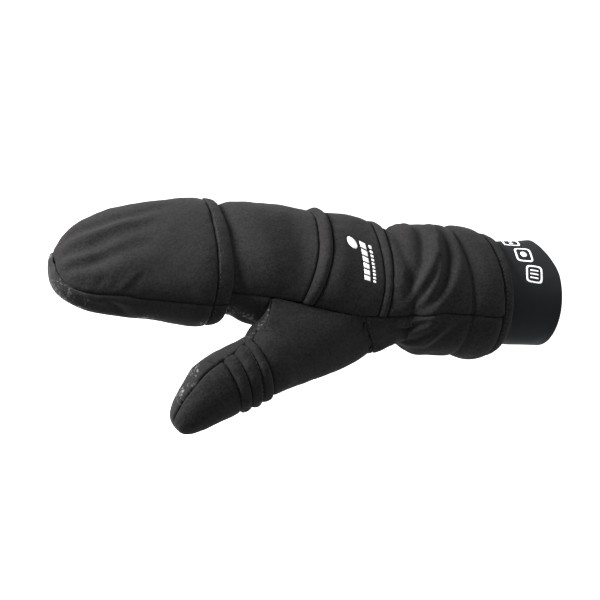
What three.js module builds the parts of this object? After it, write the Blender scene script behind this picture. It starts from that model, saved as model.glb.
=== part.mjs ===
// A flip-top fingerless mitten for the right hand, with its hood closed over the fingers.
// Millimetres. The fingers point along -X and the cuff's mouth opens along +X at the origin.
// The back of the hand is +Z and the thumb is on the -Y side.
// An angle round a tube starts on the little-finger side (+Y): 90 is back, 180 the thumb side, 270 the palm.
import * as THREE from "three";

// Walls, and the gap that sewn neighbours keep
const SOFTSHELL = 2.4;
const HEM_WALL = 2.2;
const NEOPRENE = 2.0;
const GAP = 0.4;

// The middle line of the hollow, from the cuff's mouth to short of the fingertips
const HOLLOW_Y = 6;
const HOLLOW_END_X = -262;

// Rings along the hood: centre, half width, height over and under the centre, power of the superellipse
const HOOD = tube("x y z halfWidth rise drop power", [
  [-190, 14.6, 0, 39.6, 22.0, 19.5, 2.3],
  [-196, 14.3, 0, 41.6, 22.8, 22.8, 2.3],
  [-203, 13.6, 0, 43.0, 22.8, 23.4, 2.3],
  [-215, 11.6, 0, 43.4, 22.2, 21.6, 2.3],
  [-235, 10.8, 0, 39.9, 20.6, 18.6, 2.3],
  [-255, 8.2, 0.2, 36.6, 17.0, 17.0, 2.25],
  [-270, 4.6, 0.6, 31.4, 13.0, 14.8, 2.2],
  [-280, 0.5, 1.2, 23.9, 8.8, 11.3, 2.1],
  [-286.5, -2.3, 2.0, 16.0, 4.6, 8.8, 2.0],
  [-290, -2.8, 2.8, 8.2, 1.2, 6.0, 2.0],
  [-291, -2.8, 3.2, 0, 0, 0, 2.0],
]);

// Rings along the fingerless shell, from inside the hood over the wrist to the gauntlet's end
const SLEEVE = tube("x y z halfWidth rise drop power", [
  [-228, 12.8, 0, 33.0, 17.0, 16.5, 2.3],
  [-208, 13.8, 0, 36.2, 18.8, 18.2, 2.3],
  [-192, 14.6, 0, 37.2, 20.2, 18.8, 2.3],
  [-183, 14.6, 0, 39.6, 22.6, 21.0, 2.3],
  [-160, 13.4, 0, 41.7, 23.2, 23.0, 2.3],
  [-135, 8.8, 0, 41.4, 24.0, 24.6, 2.3],
  [-115, 6.0, 0, 41.6, 25.4, 25.6, 2.3],
  [-104, 3.2, 0, 40.4, 26.2, 25.8, 2.25],
  [-98, 1.2, 0, 38.6, 26.0, 25.6, 2.2],
  [-93, -0.4, 0, 35.7, 24.3, 25.0, 2.2],
  [-88, -1.2, 0, 39.3, 27.0, 26.8, 2.2],
  [-83, -1.6, 0, 41.5, 29.0, 28.2, 2.2],
  [-75, -1.4, 0, 41.2, 29.8, 29.4, 2.2],
  [-60, -1.8, 0, 41.0, 31.0, 31.0, 2.2],
  [-46, -3.0, 0, 40.4, 31.4, 32.6, 2.2],
  [-38, -3.6, 0, 37.0, 30.4, 31.6, 2.15],
  [-33, -3.7, 0, 34.9, 29.6, 30.2, 2.1],
]);

const CUFF = tube("x y z halfWidth rise drop power", [
  [-62, -2.2, 0, 29.0, 25.2, 25.2, 2.1],
  [-34, -2.0, 0, 30.4, 27.0, 27.0, 2.1],
  [-22, -1.6, 0, 31.2, 27.8, 28.4, 2.1],
  [-10, -0.8, 0, 32.2, 28.0, 28.7, 2.1],
  [0, -0.2, 0, 33.0, 28.2, 28.9, 2.1],
]);

// The thumb-side seam along each tube; the seam on the little-finger side mirrors it
const HOOD_SEAM = path("x angle", [
  [-291, 112],
  [-289, 116],
  [-285.4, 136],
  [-280, 150],
  [-271, 156],
  [-255, 157],
  [-243, 163],
  [-215, 164],
  [-207, 167],
  [-196, 172],
]);
const SLEEVE_SEAM = path("x angle", [
  [-228, 162],
  [-192, 161],
  [-176, 160],
  [-156, 162],
  [-129, 168],
  [-110, 166],
  [-91, 158],
  [-80, 151.5],
  [-60, 152.5],
  [-33, 154],
]);

// Lines sewn across the tubes: where they are along X, their lean to the little finger and to the back
const LINES = {
  hoodTip: { x: -291, little: 0, back: 0 },
  hoodStitch: { x: -203, little: 3.2, back: 1.2 },
  hoodEdge: { x: -195.8, little: 1.2, back: 2.6 },
  shellEnd: { x: -226, little: 0, back: 0 },
  rollCrest: { x: -145.9, little: 9.7, back: 8.7 },
  thumbBack: { x: -117, little: 0, back: 0 },
  wristStitch: { x: -109, little: 4.5, back: 1.0 },
  wristEdge: { x: -102.5, little: 5.8, back: 0.5 },
  wristValley: { x: -93, little: 0, back: 0 },
  gauntletStitch: { x: -39.5, little: 0, back: 0 },
  gauntletEdge: { x: -33, little: 0, back: 0 },
  cuffEnd: { x: -60, little: 0, back: 0 },
};
const ROLL_HALF = 4.4;
const ROLL_HEIGHT = 3.0;
const ROLL_FULLNESS = 0.8; // under 1 makes the roll's section fuller than a sine
const HEM_PUFF = 0.7;
const WRIST_RIB_PUFF = 0.8;
const QUILT_X = -59.5;
const QUILT_DEPTH = 2.2;
const QUILT_WIDTH = 3.2;
// Rings of the gauntlet's grid, closer where it is pinched and quilted, and one on the back before them
const GAUNTLET_RINGS = [-91, -88.5, -86, -83, -79, -75, -70, -65, -61.5, -59.5, -57, -48];
const BEFORE_VALLEY_X = -96;

// The cuff's rim is lower on the back of the wrist, towards the little finger
const RIM_DIP = { depth: 4.4, towards: 40, from: -0.15, to: 0.6 };

// Soft folds (height over 0) and dents (under 0) from one place to another, rounded, of that half width
const HOOD_FOLDS = table("name x0 angle0 x1 angle1 width height", [
  ["dent over the index finger", -282, 112, -246, 98, 4.5, -1.3],
  ["dent over the middle finger", -283, 76, -241, 84, 4.5, -1.4],
  ["dent over the ring finger", -272, 52, -233, 62, 4.5, -1.2],
  ["swell between the dents", -277, 64, -240, 72, 4, 0.7],
  ["wrinkle at the seam", -256, 150, -247, 134, 2.6, -0.7],
  ["small wrinkle at the seam", -269, 141, -264, 130, 2.4, -0.6],
  ["dent in the palm of the hood", -262, 240, -222, 250, 7, -1.4],
  ["swell in the palm of the hood", -270, 290, -225, 300, 8, 1.0],
]);
const SLEEVE_FOLDS = table("name x0 angle0 x1 angle1 width height", [
  ["swell behind the hood", -184, 72, -179, 130, 7, 0.8],
  ["dip before the roll", -158, 60, -164, 140, 6, -0.9],
  ["palm crease", -176, 330, -140, 262, 5, -1.6],
  ["second palm crease", -160, 330, -128, 300, 5, -1.2],
  ["first pinch valley", -79, 50, -92, 116, 3.2, -2.0],
  ["first pinch ridge", -73, 74, -91, 126, 3.6, 1.9],
  ["narrow pinch valley", -80, 104, -91, 138, 2.6, -1.4],
  ["second pinch ridge", -76, 104, -90, 145, 3.0, 1.5],
  ["second pinch valley", -65, 68, -71, 112, 3.2, -2.0],
  ["end of the second pinch valley", -72, 115, -88, 149, 3.2, -1.8],
  ["third pinch ridge", -64, 104, -81, 145, 3.8, 1.7],
  ["side ridge", -82, 160, -92, 169, 3.0, 1.5],
  ["side valley", -80, 166, -92, 175, 3.0, -1.8],
  ["lower side ridge", -78, 172, -92, 182, 3.4, 1.6],
  ["lower side valley", -78, 184, -92, 196, 3.4, -1.6],
  ["swell at the thumb's root", -130, 219, -112, 217, 10, 8.4],
  ["wrist pinch", -109, 178, -96, 172, 3.2, -1.6],
  ["lower wrist pinch", -100, 206, -94, 190, 3.0, -2.0],
  ["palm ridge of the gauntlet", -70, 250, -90, 235, 4.0, 1.6],
  ["palm valley of the gauntlet", -72, 275, -91, 262, 4.0, -2.0],
  ["second palm ridge of the gauntlet", -66, 300, -89, 292, 4.0, 1.6],
  ["little-finger valley of the gauntlet", -70, 350, -91, 338, 4.0, -1.8],
  ["little-finger ridge of the gauntlet", -68, 20, -90, 10, 4.0, 1.5],
  ["back swell after the quilting", -50, 60, -48, 140, 5, 0.9],
]);
const FOLD_RADIUS = 34; // turns an angle into a length round the tube
const HOOD_FLAT_TIP = { from: -290, to: -280 }; // where the hood's folds fade out
const HOOD_TIP_CROWD = 1.7; // how much closer the rings get towards the tip of the hood
// Degrees that the hood's back stops short of its seam at the tip, and where that ends
const HOOD_TIP_SLIT = { turn: 5, from: -291, to: -270 };
const THUMB_TIP_CROWD = 1.4;

// The thumb: rings square to a straight axis that starts at its first sewn line
const THUMB_START = new THREE.Vector3(-178.5, -54.5, -13.2);
const THUMB_ALONG = new THREE.Vector3(-0.84, -0.374, -0.393).normalize();
const THUMB_BACK = new THREE.Vector3(-0.1007, -0.6043, 0.7904);
const THUMB_CROTCH = new THREE.Vector3().crossVectors(THUMB_ALONG, THUMB_BACK).normalize();
const THUMB = table("along shift halfWidth halfDepth", [
  [0, 0.8, 17.6, 15.0],
  [8, 1.6, 17.4, 15.0],
  [15, 2.1, 17.5, 14.8],
  [22, 3.0, 17.3, 14.7],
  [30, 3.5, 16.5, 14.5],
  [38.6, 2.6, 14.2, 13.4],
  [48, 1.0, 11.4, 10.8],
  [54.6, -0.4, 8.0, 7.4],
  [57.8, -0.9, 4.4, 4.2],
  [58.8, -1.1, 0, 0],
]);
const THUMB_RIBS = [0, 7, 14.4, 20.6];
const THUMB_TIP = 58.8;
const RIB_PUFF = 1.8;
const CAP_PUFF = 0.5;
const CAP_PROUD = 1.0;
// The cap's edge on the palm side: its least length along the thumb, its bow to the tip, and the bow's angles
const CAP_EDGE = { least: 24, bow: 12, last: 48, spread: 208 };
// How the two sides of the cap stand apart along their seam, towards the crotch and the back
const CAP_APART = { crotch: -0.62, back: 0.79 };
const SEAM_SLIT = 1; // degrees left open on each side of a seam along the thumb
const GUSSET_END = -0.008; // how short of the first rib the gusset ends, as a share of its run
// The seam between the thumb's softshell and its grip fabric, on the crotch side
const THUMB_SEAM = path("x angle", [
  [0, 12],
  [3.5, 23],
  [7, 32],
  [14, 41],
  [21, 44],
  [38, 56],
  [58.8, 57],
]);
const THUMB_LOWER_SEAM = 200;
const THUMB_LOWEST = THUMB_LOWER_SEAM - 360; // the same seam, met from the palm side

// The thumb hole in the shell: a rounded outline between the side seam and the palm
const HOLE = {
  frontX: -173.5,
  middleX: -140,
  power: 2.6,
  reach: 84, // degrees round from the seam at its widest
  wristReach: 64,
  crotchTurn: 26, // place on the rounded end, in degrees, that the thumb's seam starts from
};
// How the thumb's skin leaves the hole at an angle round the thumb: its pull there, and its lean outwards
const THUMB_LEAVES = table("psi pull lean arrive", [
  [-160, 40, 1.3, 24],
  [-100, 24, 0.5, 20],
  [-60, 30, 0.8, 14],
  [-20, 62, 0.3, 4],
  [12, 54, 0.1, 5],
  [50, 20, 0.6, 20],
  [90, 18, 0.35, 24],
  [130, 28, 0.6, 24],
  [165, 52, 1.4, 24],
  [200, 48, 1.5, 24],
]);

const MATERIALS = {
  softshell: cloth(0x1d1c1c, 0.95),
  grip: cloth(0x19191a, 0.85),
  neoprene: cloth(0x1b1c1e, 0.7),
};

// A cloth material of that colour and roughness
function cloth(color, roughness) {
  return new THREE.MeshStandardMaterial({ color, roughness, metalness: 0 });
}

// Names the columns of a short table
function table(heading, rows) {
  const names = heading.split(" ");
  return rows.map((row) => Object.fromEntries(names.map((name, i) => [name, row[i]])));
}

// The smooth value between the second and third of four numbers
function spline(before, start, end, after, f) {
  const leave = (end - before) / 2;
  const arrive = (after - start) / 2;
  const f2 = f * f;
  const f3 = f2 * f;
  return (
    (2 * f3 - 3 * f2 + 1) * start + (f3 - 2 * f2 + f) * leave + (3 * f2 - 2 * f3) * end + (f3 - f2) * arrive
  );
}

// Reads one column of a table at a place between its rows, counted from 0
function read(rows, name, place) {
  const last = rows.length - 1;
  const i = Math.min(Math.floor(place), last - 1);
  const at = (k) => rows[Math.min(Math.max(k, 0), last)][name];
  return spline(at(i - 1), at(i), at(i + 1), at(i + 2), place - i);
}

// The place between a table's rows where a rising or falling column has that value
function placeOf(rows, name, value) {
  const rising = rows[rows.length - 1][name] > rows[0][name];
  let low = 0;
  let high = rows.length - 1;
  for (let step = 0; step < 40; step++) {
    const middle = (low + high) / 2;
    if (read(rows, name, middle) < value === rising) low = middle;
    else high = middle;
  }
  return (low + high) / 2;
}

// An angle as a function of the length along a seam
function path(heading, rows) {
  const points = table(heading, rows);
  return (x) => {
    const clamped = Math.min(Math.max(x, points[0].x), points[points.length - 1].x);
    return read(points, "angle", placeOf(points, "x", clamped));
  };
}

// A tube of superellipse rings: gives the point at a length and an angle in degrees
function tube(heading, rows) {
  const rings = table(heading, rows);
  return (x, angle) => {
    const place = placeOf(rings, "x", x);
    const ring = (name) => read(rings, name, place);
    const turn = THREE.MathUtils.degToRad(angle);
    const power = 2 / ring("power");
    const across = Math.sign(Math.cos(turn)) * Math.abs(Math.cos(turn)) ** power;
    const up = Math.sign(Math.sin(turn)) * Math.abs(Math.sin(turn)) ** power;
    const height = up > 0 ? ring("rise") : ring("drop");
    return new THREE.Vector3(
      ring("x"),
      ring("y") + Math.max(ring("halfWidth"), 0) * across,
      ring("z") + Math.max(height, 0) * up,
    );
  };
}

// A line straight across a tube
function straight(x) {
  return { x, little: 0, back: 0 };
}

// Where a sewn line crosses an angle
function lineAt(line, angle) {
  const turn = THREE.MathUtils.degToRad(angle);
  return line.x + line.little * Math.cos(turn) + line.back * Math.sin(turn);
}

// How far the folds lift the cloth at a length and an angle
function foldLift(folds, x, angle) {
  let lift = 0;
  for (const fold of folds) {
    const round = THREE.MathUtils.degToRad(1) * FOLD_RADIUS;
    const away = THREE.MathUtils.euclideanModulo(angle - fold.angle0 + 180, 360) - 180;
    const point = new THREE.Vector2(x - fold.x0, away * round);
    const run = new THREE.Vector2(fold.x1 - fold.x0, (fold.angle1 - fold.angle0) * round);
    const share = THREE.MathUtils.clamp(point.dot(run) / run.lengthSq(), 0, 1);
    const distance = point.distanceTo(run.multiplyScalar(share));
    lift += fold.height * Math.exp(-((distance / fold.width) ** 2));
  }
  return lift;
}

const hoodFolds = (x, angle) => {
  const fade = THREE.MathUtils.smoothstep(x, HOOD_FLAT_TIP.from, HOOD_FLAT_TIP.to);
  return fade * foldLift(HOOD_FOLDS, x, angle);
};
const sleeveFolds = (x, angle) => {
  const quilt = QUILT_DEPTH * Math.exp(-(((x - QUILT_X) / QUILT_WIDTH) ** 2));
  return foldLift(SLEEVE_FOLDS, x, angle) - quilt;
};

// Steps from 0 to 1, crowded towards the start by a power over 1
function steps(count, crowd = 1) {
  return Array.from({ length: count }, (_, i) => (i / (count - 1)) ** crowd);
}

// Steps crowded towards the end, for the thumb's tip
function endCrowded(count) {
  return steps(count, THUMB_TIP_CROWD)
    .map((u) => 1 - u)
    .reverse();
}

// A sewn panel as a surface of (u, v): u runs over its lines across a tube, v between two seams along it
function panel({ form, lines, from, to, startGap = GAP / 2, endGap = GAP / 2 }) {
  const last = lines.length - 1;
  const lineX = (i, angle) => lineAt(lines[i], angle) + (i === 0 ? startGap : 0) - (i === last ? endGap : 0);
  return (u, v) => {
    const place = THREE.MathUtils.clamp(u, 0, 1) * last;
    const i = Math.min(Math.floor(place), last - 1);
    let x = lines[i].x;
    let angle = 0;
    for (let turn = 0; turn < 6; turn++) {
      angle = THREE.MathUtils.lerp(from(x), to(x), v);
      x = THREE.MathUtils.lerp(lineX(i, angle), lineX(i + 1, angle), place - i);
    }
    return { point: form(x, angle), x, angle };
  };
}

// The way out of a surface at (u, v), from the slopes of the surface there
function normalAt(surface, u, v, inside) {
  const stepU = 2e-3;
  const stepV = 1.2e-2;
  const clampedU = THREE.MathUtils.clamp(u, 2 * stepU, 1 - 2 * stepU);
  const alongU = surface(clampedU + stepU, v).point.sub(surface(clampedU - stepU, v).point);
  const alongV = surface(clampedU, v + stepV).point.sub(surface(clampedU, v - stepV).point);
  const normal = alongU.cross(alongV).normalize();
  const outwards = surface(clampedU, v).point.sub(inside(surface(clampedU, v).point));
  return normal.dot(outwards) < 0 ? normal.negate() : normal;
}

// A point well inside the hollow of the hand, level with a place on a tube
function insideTube(point) {
  return new THREE.Vector3(Math.max(point.x, HOLLOW_END_X), HOLLOW_Y, 0);
}

// A point of the shell's outer skin, folds and all
function sleeveSkin(x, angle) {
  const surface = (u, v) => ({ point: SLEEVE(x + u - 0.5, angle + v - 0.5) });
  return SLEEVE(x, angle).addScaledVector(normalAt(surface, 0.5, 0.5, insideTube), sleeveFolds(x, angle));
}

// A closed wall of cloth: the outer skin lifted by its folds, and the inner skin a wall's width below
function cloak({
  surface,
  us,
  vs,
  wall,
  lift = () => 0,
  follow = 1,
  ring = false,
  pole = null,
  shift = new THREE.Vector3(),
  inside = insideTube,
}) {
  const outer = [];
  const inner = [];
  for (const u of us) {
    const outerRow = [];
    const innerRow = [];
    for (const v of vs) {
      const place = surface(u, v);
      const atPole = pole && Math.abs(u - pole.u) < 1e-9;
      const normal = atPole ? pole.normal : normalAt(surface, u, v, inside);
      const height = atPole ? 0 : lift(place.x, place.angle, u, v);
      outerRow.push(place.point.clone().addScaledVector(normal, height).add(shift));
      innerRow.push(place.point.clone().addScaledVector(normal, follow * height - wall).add(shift));
    }
    outer.push(outerRow);
    inner.push(innerRow);
  }
  return closedWall(outer, inner, ring);
}

// Joins two grids of points into one closed body, open round the middle where it is a ring
function closedWall(outer, inner, ring) {
  const rows = outer.length;
  const columns = outer[0].length;
  const points = [...outer.flat(), ...inner.flat()];
  const outside = (i, j) => i * columns + (j % columns);
  const within = (i, j) => rows * columns + outside(i, j);
  const faces = [];
  const quad = (a, b, c, d) => faces.push([a, b, d], [b, c, d]);
  const runs = ring ? columns : columns - 1;
  for (let i = 0; i < rows - 1; i++) {
    for (let j = 0; j < runs; j++) {
      quad(outside(i, j), outside(i + 1, j), outside(i + 1, j + 1), outside(i, j + 1));
      quad(within(i, j), within(i, j + 1), within(i + 1, j + 1), within(i + 1, j));
    }
  }
  for (let j = 0; j < runs; j++) {
    quad(outside(0, j), outside(0, j + 1), within(0, j + 1), within(0, j));
    quad(outside(rows - 1, j + 1), outside(rows - 1, j), within(rows - 1, j), within(rows - 1, j + 1));
  }
  if (!ring) {
    for (let i = 0; i < rows - 1; i++) {
      const end = columns - 1;
      quad(outside(i + 1, 0), outside(i, 0), within(i, 0), within(i + 1, 0));
      quad(outside(i, end), outside(i + 1, end), within(i + 1, end), within(i, end));
    }
  }
  return solid(points, faces);
}

// A geometry facing outwards, without the faces that shrink to nothing at a tip
function solid(points, faces) {
  const same = (a, b) => points[a].distanceToSquared(points[b]) < 1e-8;
  const kept = faces.filter(([a, b, c]) => !same(a, b) && !same(b, c) && !same(c, a));
  const volume = kept.reduce(
    (sum, [a, b, c]) => sum + points[a].dot(points[b].clone().cross(points[c])),
    0,
  );
  const facing = volume < 0 ? kept.map(([a, b, c]) => [a, c, b]) : kept;
  const geometry = new THREE.BufferGeometry().setFromPoints(points);
  geometry.setIndex(facing.flat());
  geometry.computeVertexNormals();
  return geometry;
}

const mitten = new THREE.Group();

function add(name, material, geometry) {
  const mesh = new THREE.Mesh(geometry, material);
  mesh.name = name;
  mitten.add(mesh);
}

// Seams of the back and of the palm side of a tube, as angles at a length
const littleSeam = (seam) => (x) => 180 - seam(x);
const back = (seam) => ({ from: littleSeam(seam), to: seam });
const palm = (seam) => ({ from: seam, to: (x) => littleSeam(seam)(x) + 360 });
const UP = new THREE.Vector3(0, 0, GAP / 2);
const DOWN = new THREE.Vector3(0, 0, -GAP / 2);

// How far the hood's back stops short of its seam, at a length
function tipSlit(x) {
  return HOOD_TIP_SLIT.turn * (1 - THREE.MathUtils.smoothstep(x, HOOD_TIP_SLIT.from, HOOD_TIP_SLIT.to));
}

// The hood over the fingers, and its hem
function hood() {
  const backSeams = {
    from: (x) => littleSeam(HOOD_SEAM)(x) + tipSlit(x),
    to: (x) => HOOD_SEAM(x) - tipSlit(x),
  };
  const tip = { u: 0, normal: new THREE.Vector3(-0.85, 0, 0.5).normalize() };
  const body = { form: HOOD, lines: [LINES.hoodTip, LINES.hoodStitch], startGap: 0 };
  const shape = { wall: SOFTSHELL, lift: hoodFolds, pole: tip };
  add(
    "hood_back",
    MATERIALS.softshell,
    cloak({
      surface: panel({ ...body, ...backSeams }),
      us: steps(15, HOOD_TIP_CROWD),
      vs: steps(19),
      shift: UP,
      ...shape,
    }),
  );
  add(
    "hood_palm",
    MATERIALS.grip,
    cloak({
      surface: panel({ ...body, ...palm(HOOD_SEAM) }),
      us: steps(15, HOOD_TIP_CROWD),
      vs: steps(14),
      shift: DOWN,
      ...shape,
    }),
  );
  const hem = { form: HOOD, lines: [LINES.hoodStitch, LINES.hoodEdge] };
  const puff = (x, angle, u) => HEM_PUFF * Math.sin(Math.PI * u);
  const hemShape = { us: steps(4), wall: HEM_WALL, lift: puff, follow: 0 };
  add(
    "hood_hem_back",
    MATERIALS.softshell,
    cloak({ surface: panel({ ...hem, ...back(HOOD_SEAM) }), vs: steps(19), shift: UP, ...hemShape }),
  );
  add(
    "hood_hem_palm",
    MATERIALS.softshell,
    cloak({ surface: panel({ ...hem, ...palm(HOOD_SEAM) }), vs: steps(18), shift: DOWN, ...hemShape }),
  );
}

// The back of the hand: shell, knuckle roll, panel and wrist rib
function handBack() {
  const rollStart = { ...LINES.rollCrest, x: LINES.rollCrest.x - ROLL_HALF };
  const rollEnd = { ...LINES.rollCrest, x: LINES.rollCrest.x + ROLL_HALF };
  const roll = (x, angle, u) => ROLL_HEIGHT * Math.sin(Math.PI * u) ** ROLL_FULLNESS;
  const rib = (x, angle, u) => WRIST_RIB_PUFF * Math.sin(Math.PI * u);
  const pieces = [
    ["hand_back", LINES.shellEnd, rollStart, 12, sleeveFolds, 1],
    ["knuckle_roll", rollStart, rollEnd, 6, roll, 0],
    ["back_panel", rollEnd, LINES.wristStitch, 5, sleeveFolds, 1],
    ["wrist_rib", LINES.wristStitch, LINES.wristEdge, 4, rib, 0],
  ];
  for (const [name, start, end, rows, lift, follow] of pieces) {
    const surface = panel({ form: SLEEVE, lines: [start, end], ...back(SLEEVE_SEAM) });
    const shape = { us: steps(rows), vs: steps(17), wall: SOFTSHELL, lift, follow, shift: UP };
    add(name, MATERIALS.softshell, cloak({ surface, ...shape }));
  }
}

// The palm edge of the thumb hole at a turn along its rounded end, and beyond it towards the wrist
function holeEnd(turn) {
  const cos = Math.cos(THREE.MathUtils.degToRad(turn)) ** (2 / HOLE.power);
  const sin = Math.sin(THREE.MathUtils.degToRad(turn)) ** (2 / HOLE.power);
  const x = HOLE.middleX + (HOLE.frontX - HOLE.middleX) * cos;
  return { x, angle: SLEEVE_SEAM(x) + HOLE.reach * sin };
}

function holeRun(share) {
  const x = THREE.MathUtils.lerp(HOLE.middleX, LINES.thumbBack.x, share);
  return { x, angle: SLEEVE_SEAM(x) + THREE.MathUtils.lerp(HOLE.reach, HOLE.wristReach, share ** 2) };
}

// Angles round the thumb: 0 is the crotch, 90 the back, 180 the wrist side, -90 the palm
const HOLE_TOP = { front: 55, wrist: 125 };
const HOLE_CROTCH = 12;
const ROUND_SHARE = 0.6; // of the palm edge that belongs to the rounded end

// The point of the thumb hole's outline that an angle round the thumb starts from
function holeAt(psi) {
  if (psi <= HOLE_CROTCH) {
    const share = (HOLE_CROTCH - psi) / (HOLE_CROTCH - THUMB_LOWEST);
    if (share <= ROUND_SHARE) {
      return holeEnd(THREE.MathUtils.lerp(HOLE.crotchTurn, 90, share / ROUND_SHARE));
    }
    return holeRun((share - ROUND_SHARE) / (1 - ROUND_SHARE));
  }
  if (psi <= HOLE_TOP.front) {
    const share = (HOLE_TOP.front - psi) / (HOLE_TOP.front - HOLE_CROTCH);
    return holeEnd(HOLE.crotchTurn * share);
  }
  const wrist = LINES.thumbBack.x;
  if (psi <= HOLE_TOP.wrist) {
    const share = (psi - HOLE_TOP.front) / (HOLE_TOP.wrist - HOLE_TOP.front);
    const x = THREE.MathUtils.lerp(HOLE.frontX, wrist, share);
    return { x, angle: SLEEVE_SEAM(x) };
  }
  const share = (psi - HOLE_TOP.wrist) / (THUMB_LOWER_SEAM - HOLE_TOP.wrist);
  return { x: wrist, angle: THREE.MathUtils.lerp(SLEEVE_SEAM(wrist), holeRun(1).angle, share) };
}

// Rows of the palm's grid: lengths before the thumb hole, then angles round its outline
const PALM_FRONT = [-226, -213, -201, -191, -183, -177];
const PALM_ROUND = [54, 44, 32, 21, 12, -4, -22, -42, -64, -88, -106, -124, -142, -160];
const PALM_SLIT = 1.5 * GAP;

// The palm of the hand, open round the thumb, and the palm side of the wrist
function handPalm() {
  const distal = PALM_FRONT.map((x) => ({ x, angle: SLEEVE_SEAM(x) }));
  const edge = PALM_ROUND.map(holeAt);
  const rows = [...distal, ...edge];
  const surface = (u, v) => {
    const place = THREE.MathUtils.clamp(u, 0, 1) * (rows.length - 1);
    const i = Math.min(Math.floor(place), rows.length - 2);
    const x = THREE.MathUtils.lerp(rows[i].x, rows[i + 1].x, place - i) - GAP;
    const slit = i >= distal.length - 1 ? THREE.MathUtils.radToDeg(PALM_SLIT / FOLD_RADIUS) : 0;
    const start = THREE.MathUtils.lerp(rows[i].angle, rows[i + 1].angle, place - i);
    const angle = THREE.MathUtils.lerp(start + slit, palm(SLEEVE_SEAM).to(x), v);
    return { point: SLEEVE(x, angle), x, angle };
  };
  add(
    "hand_palm",
    MATERIALS.grip,
    cloak({
      surface,
      us: steps(rows.length),
      vs: steps(13),
      wall: SOFTSHELL,
      lift: sleeveFolds,
      shift: DOWN,
    }),
  );
  const wrist = { form: SLEEVE, lines: [LINES.thumbBack, LINES.wristValley], ...palm(SLEEVE_SEAM) };
  add(
    "wrist_palm",
    MATERIALS.softshell,
    cloak({
      surface: panel(wrist),
      us: steps(6),
      vs: steps(17),
      wall: SOFTSHELL,
      lift: sleeveFolds,
      shift: DOWN,
    }),
  );
}

// A point of the thumb's skin: below 0 the run from the hole, above it the millimetres along the thumb
function thumbPoint(along, anyPsi) {
  const psi = THUMB_LOWEST + THREE.MathUtils.euclideanModulo(anyPsi - THUMB_LOWEST, 360);
  if (along >= 0) return thumbRing(along, psi);
  const f = 1 + along;
  const hole = holeAt(psi);
  const start = sleeveSkin(hole.x, hole.angle).add(DOWN);
  const end = thumbRing(0, psi);
  const outwards = start.clone().sub(insideTube(start)).setX(0).normalize();
  const run = end.clone().sub(start);
  const flat = run.clone().addScaledVector(outwards, -run.dot(outwards)).normalize();
  const place = placeOf(THUMB_LEAVES, "psi", psi);
  const lean = read(THUMB_LEAVES, "lean", place);
  const pull = read(THUMB_LEAVES, "pull", place);
  const leave = flat.addScaledVector(outwards, lean).normalize().multiplyScalar(pull);
  const arrive = THUMB_ALONG.clone().multiplyScalar(read(THUMB_LEAVES, "arrive", place));
  const f2 = f * f;
  const f3 = f2 * f;
  return start
    .multiplyScalar(2 * f3 - 3 * f2 + 1)
    .addScaledVector(leave, f3 - 2 * f2 + f)
    .addScaledVector(end, 3 * f2 - 2 * f3)
    .addScaledVector(arrive, f3 - f2);
}

function thumbRing(along, psi) {
  const place = placeOf(THUMB, "along", along);
  const turn = THREE.MathUtils.degToRad(psi);
  const across = Math.max(read(THUMB, "halfWidth", place), 0) * Math.cos(turn);
  const deep = Math.max(read(THUMB, "halfDepth", place), 0) * Math.sin(turn);
  return THUMB_START.clone()
    .addScaledVector(THUMB_ALONG, read(THUMB, "along", place))
    .addScaledVector(THUMB_CROTCH, read(THUMB, "shift", place) + across)
    .addScaledVector(THUMB_BACK, deep);
}

// A place in the hollow at the thumb's root, and how far before the first sewn line it is
const THUMB_ROOT = new THREE.Vector3(-143, -20, -9);
const THUMB_ROOT_RUN = 34;

// The middle of the thumb nearest a point, to tell its outside from its inside
function insideThumb(point) {
  const along = point.clone().sub(THUMB_START).dot(THUMB_ALONG);
  if (along > 0) return THUMB_START.clone().addScaledVector(THUMB_ALONG, along);
  return THUMB_START.clone().lerp(THUMB_ROOT, Math.min(-along / THUMB_ROOT_RUN, 1));
}

// A piece of the thumb between two lengths and two angles, each of which may vary with the other
function thumbPanel({ start, end, from, to }) {
  return (u, v) => {
    let psi = THREE.MathUtils.lerp(from(0), to(0), v);
    let along = 0;
    for (let turn = 0; turn < 4; turn++) {
      along = THREE.MathUtils.lerp(start(psi), end(psi), u);
      psi = THREE.MathUtils.lerp(from(along), to(along), v);
    }
    return { point: thumbPoint(along, psi), x: along, angle: psi };
  };
}

const LOFT_ROWS = 8; // rows of the skin between the hole and the thumb's first sewn line
// Lengths along the thumb of the rows after them, on the palm side
const THUMB_PALM_ROWS = [1.7, 3.5, 5.2, 7, 10.7, 14.4, 20.6];

// Where the cap's edge lies along the thumb, on the palm side
function capEdge(psi) {
  return CAP_EDGE.least + CAP_EDGE.bow * Math.sin((Math.PI * (CAP_EDGE.last - psi)) / CAP_EDGE.spread);
}

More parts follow.
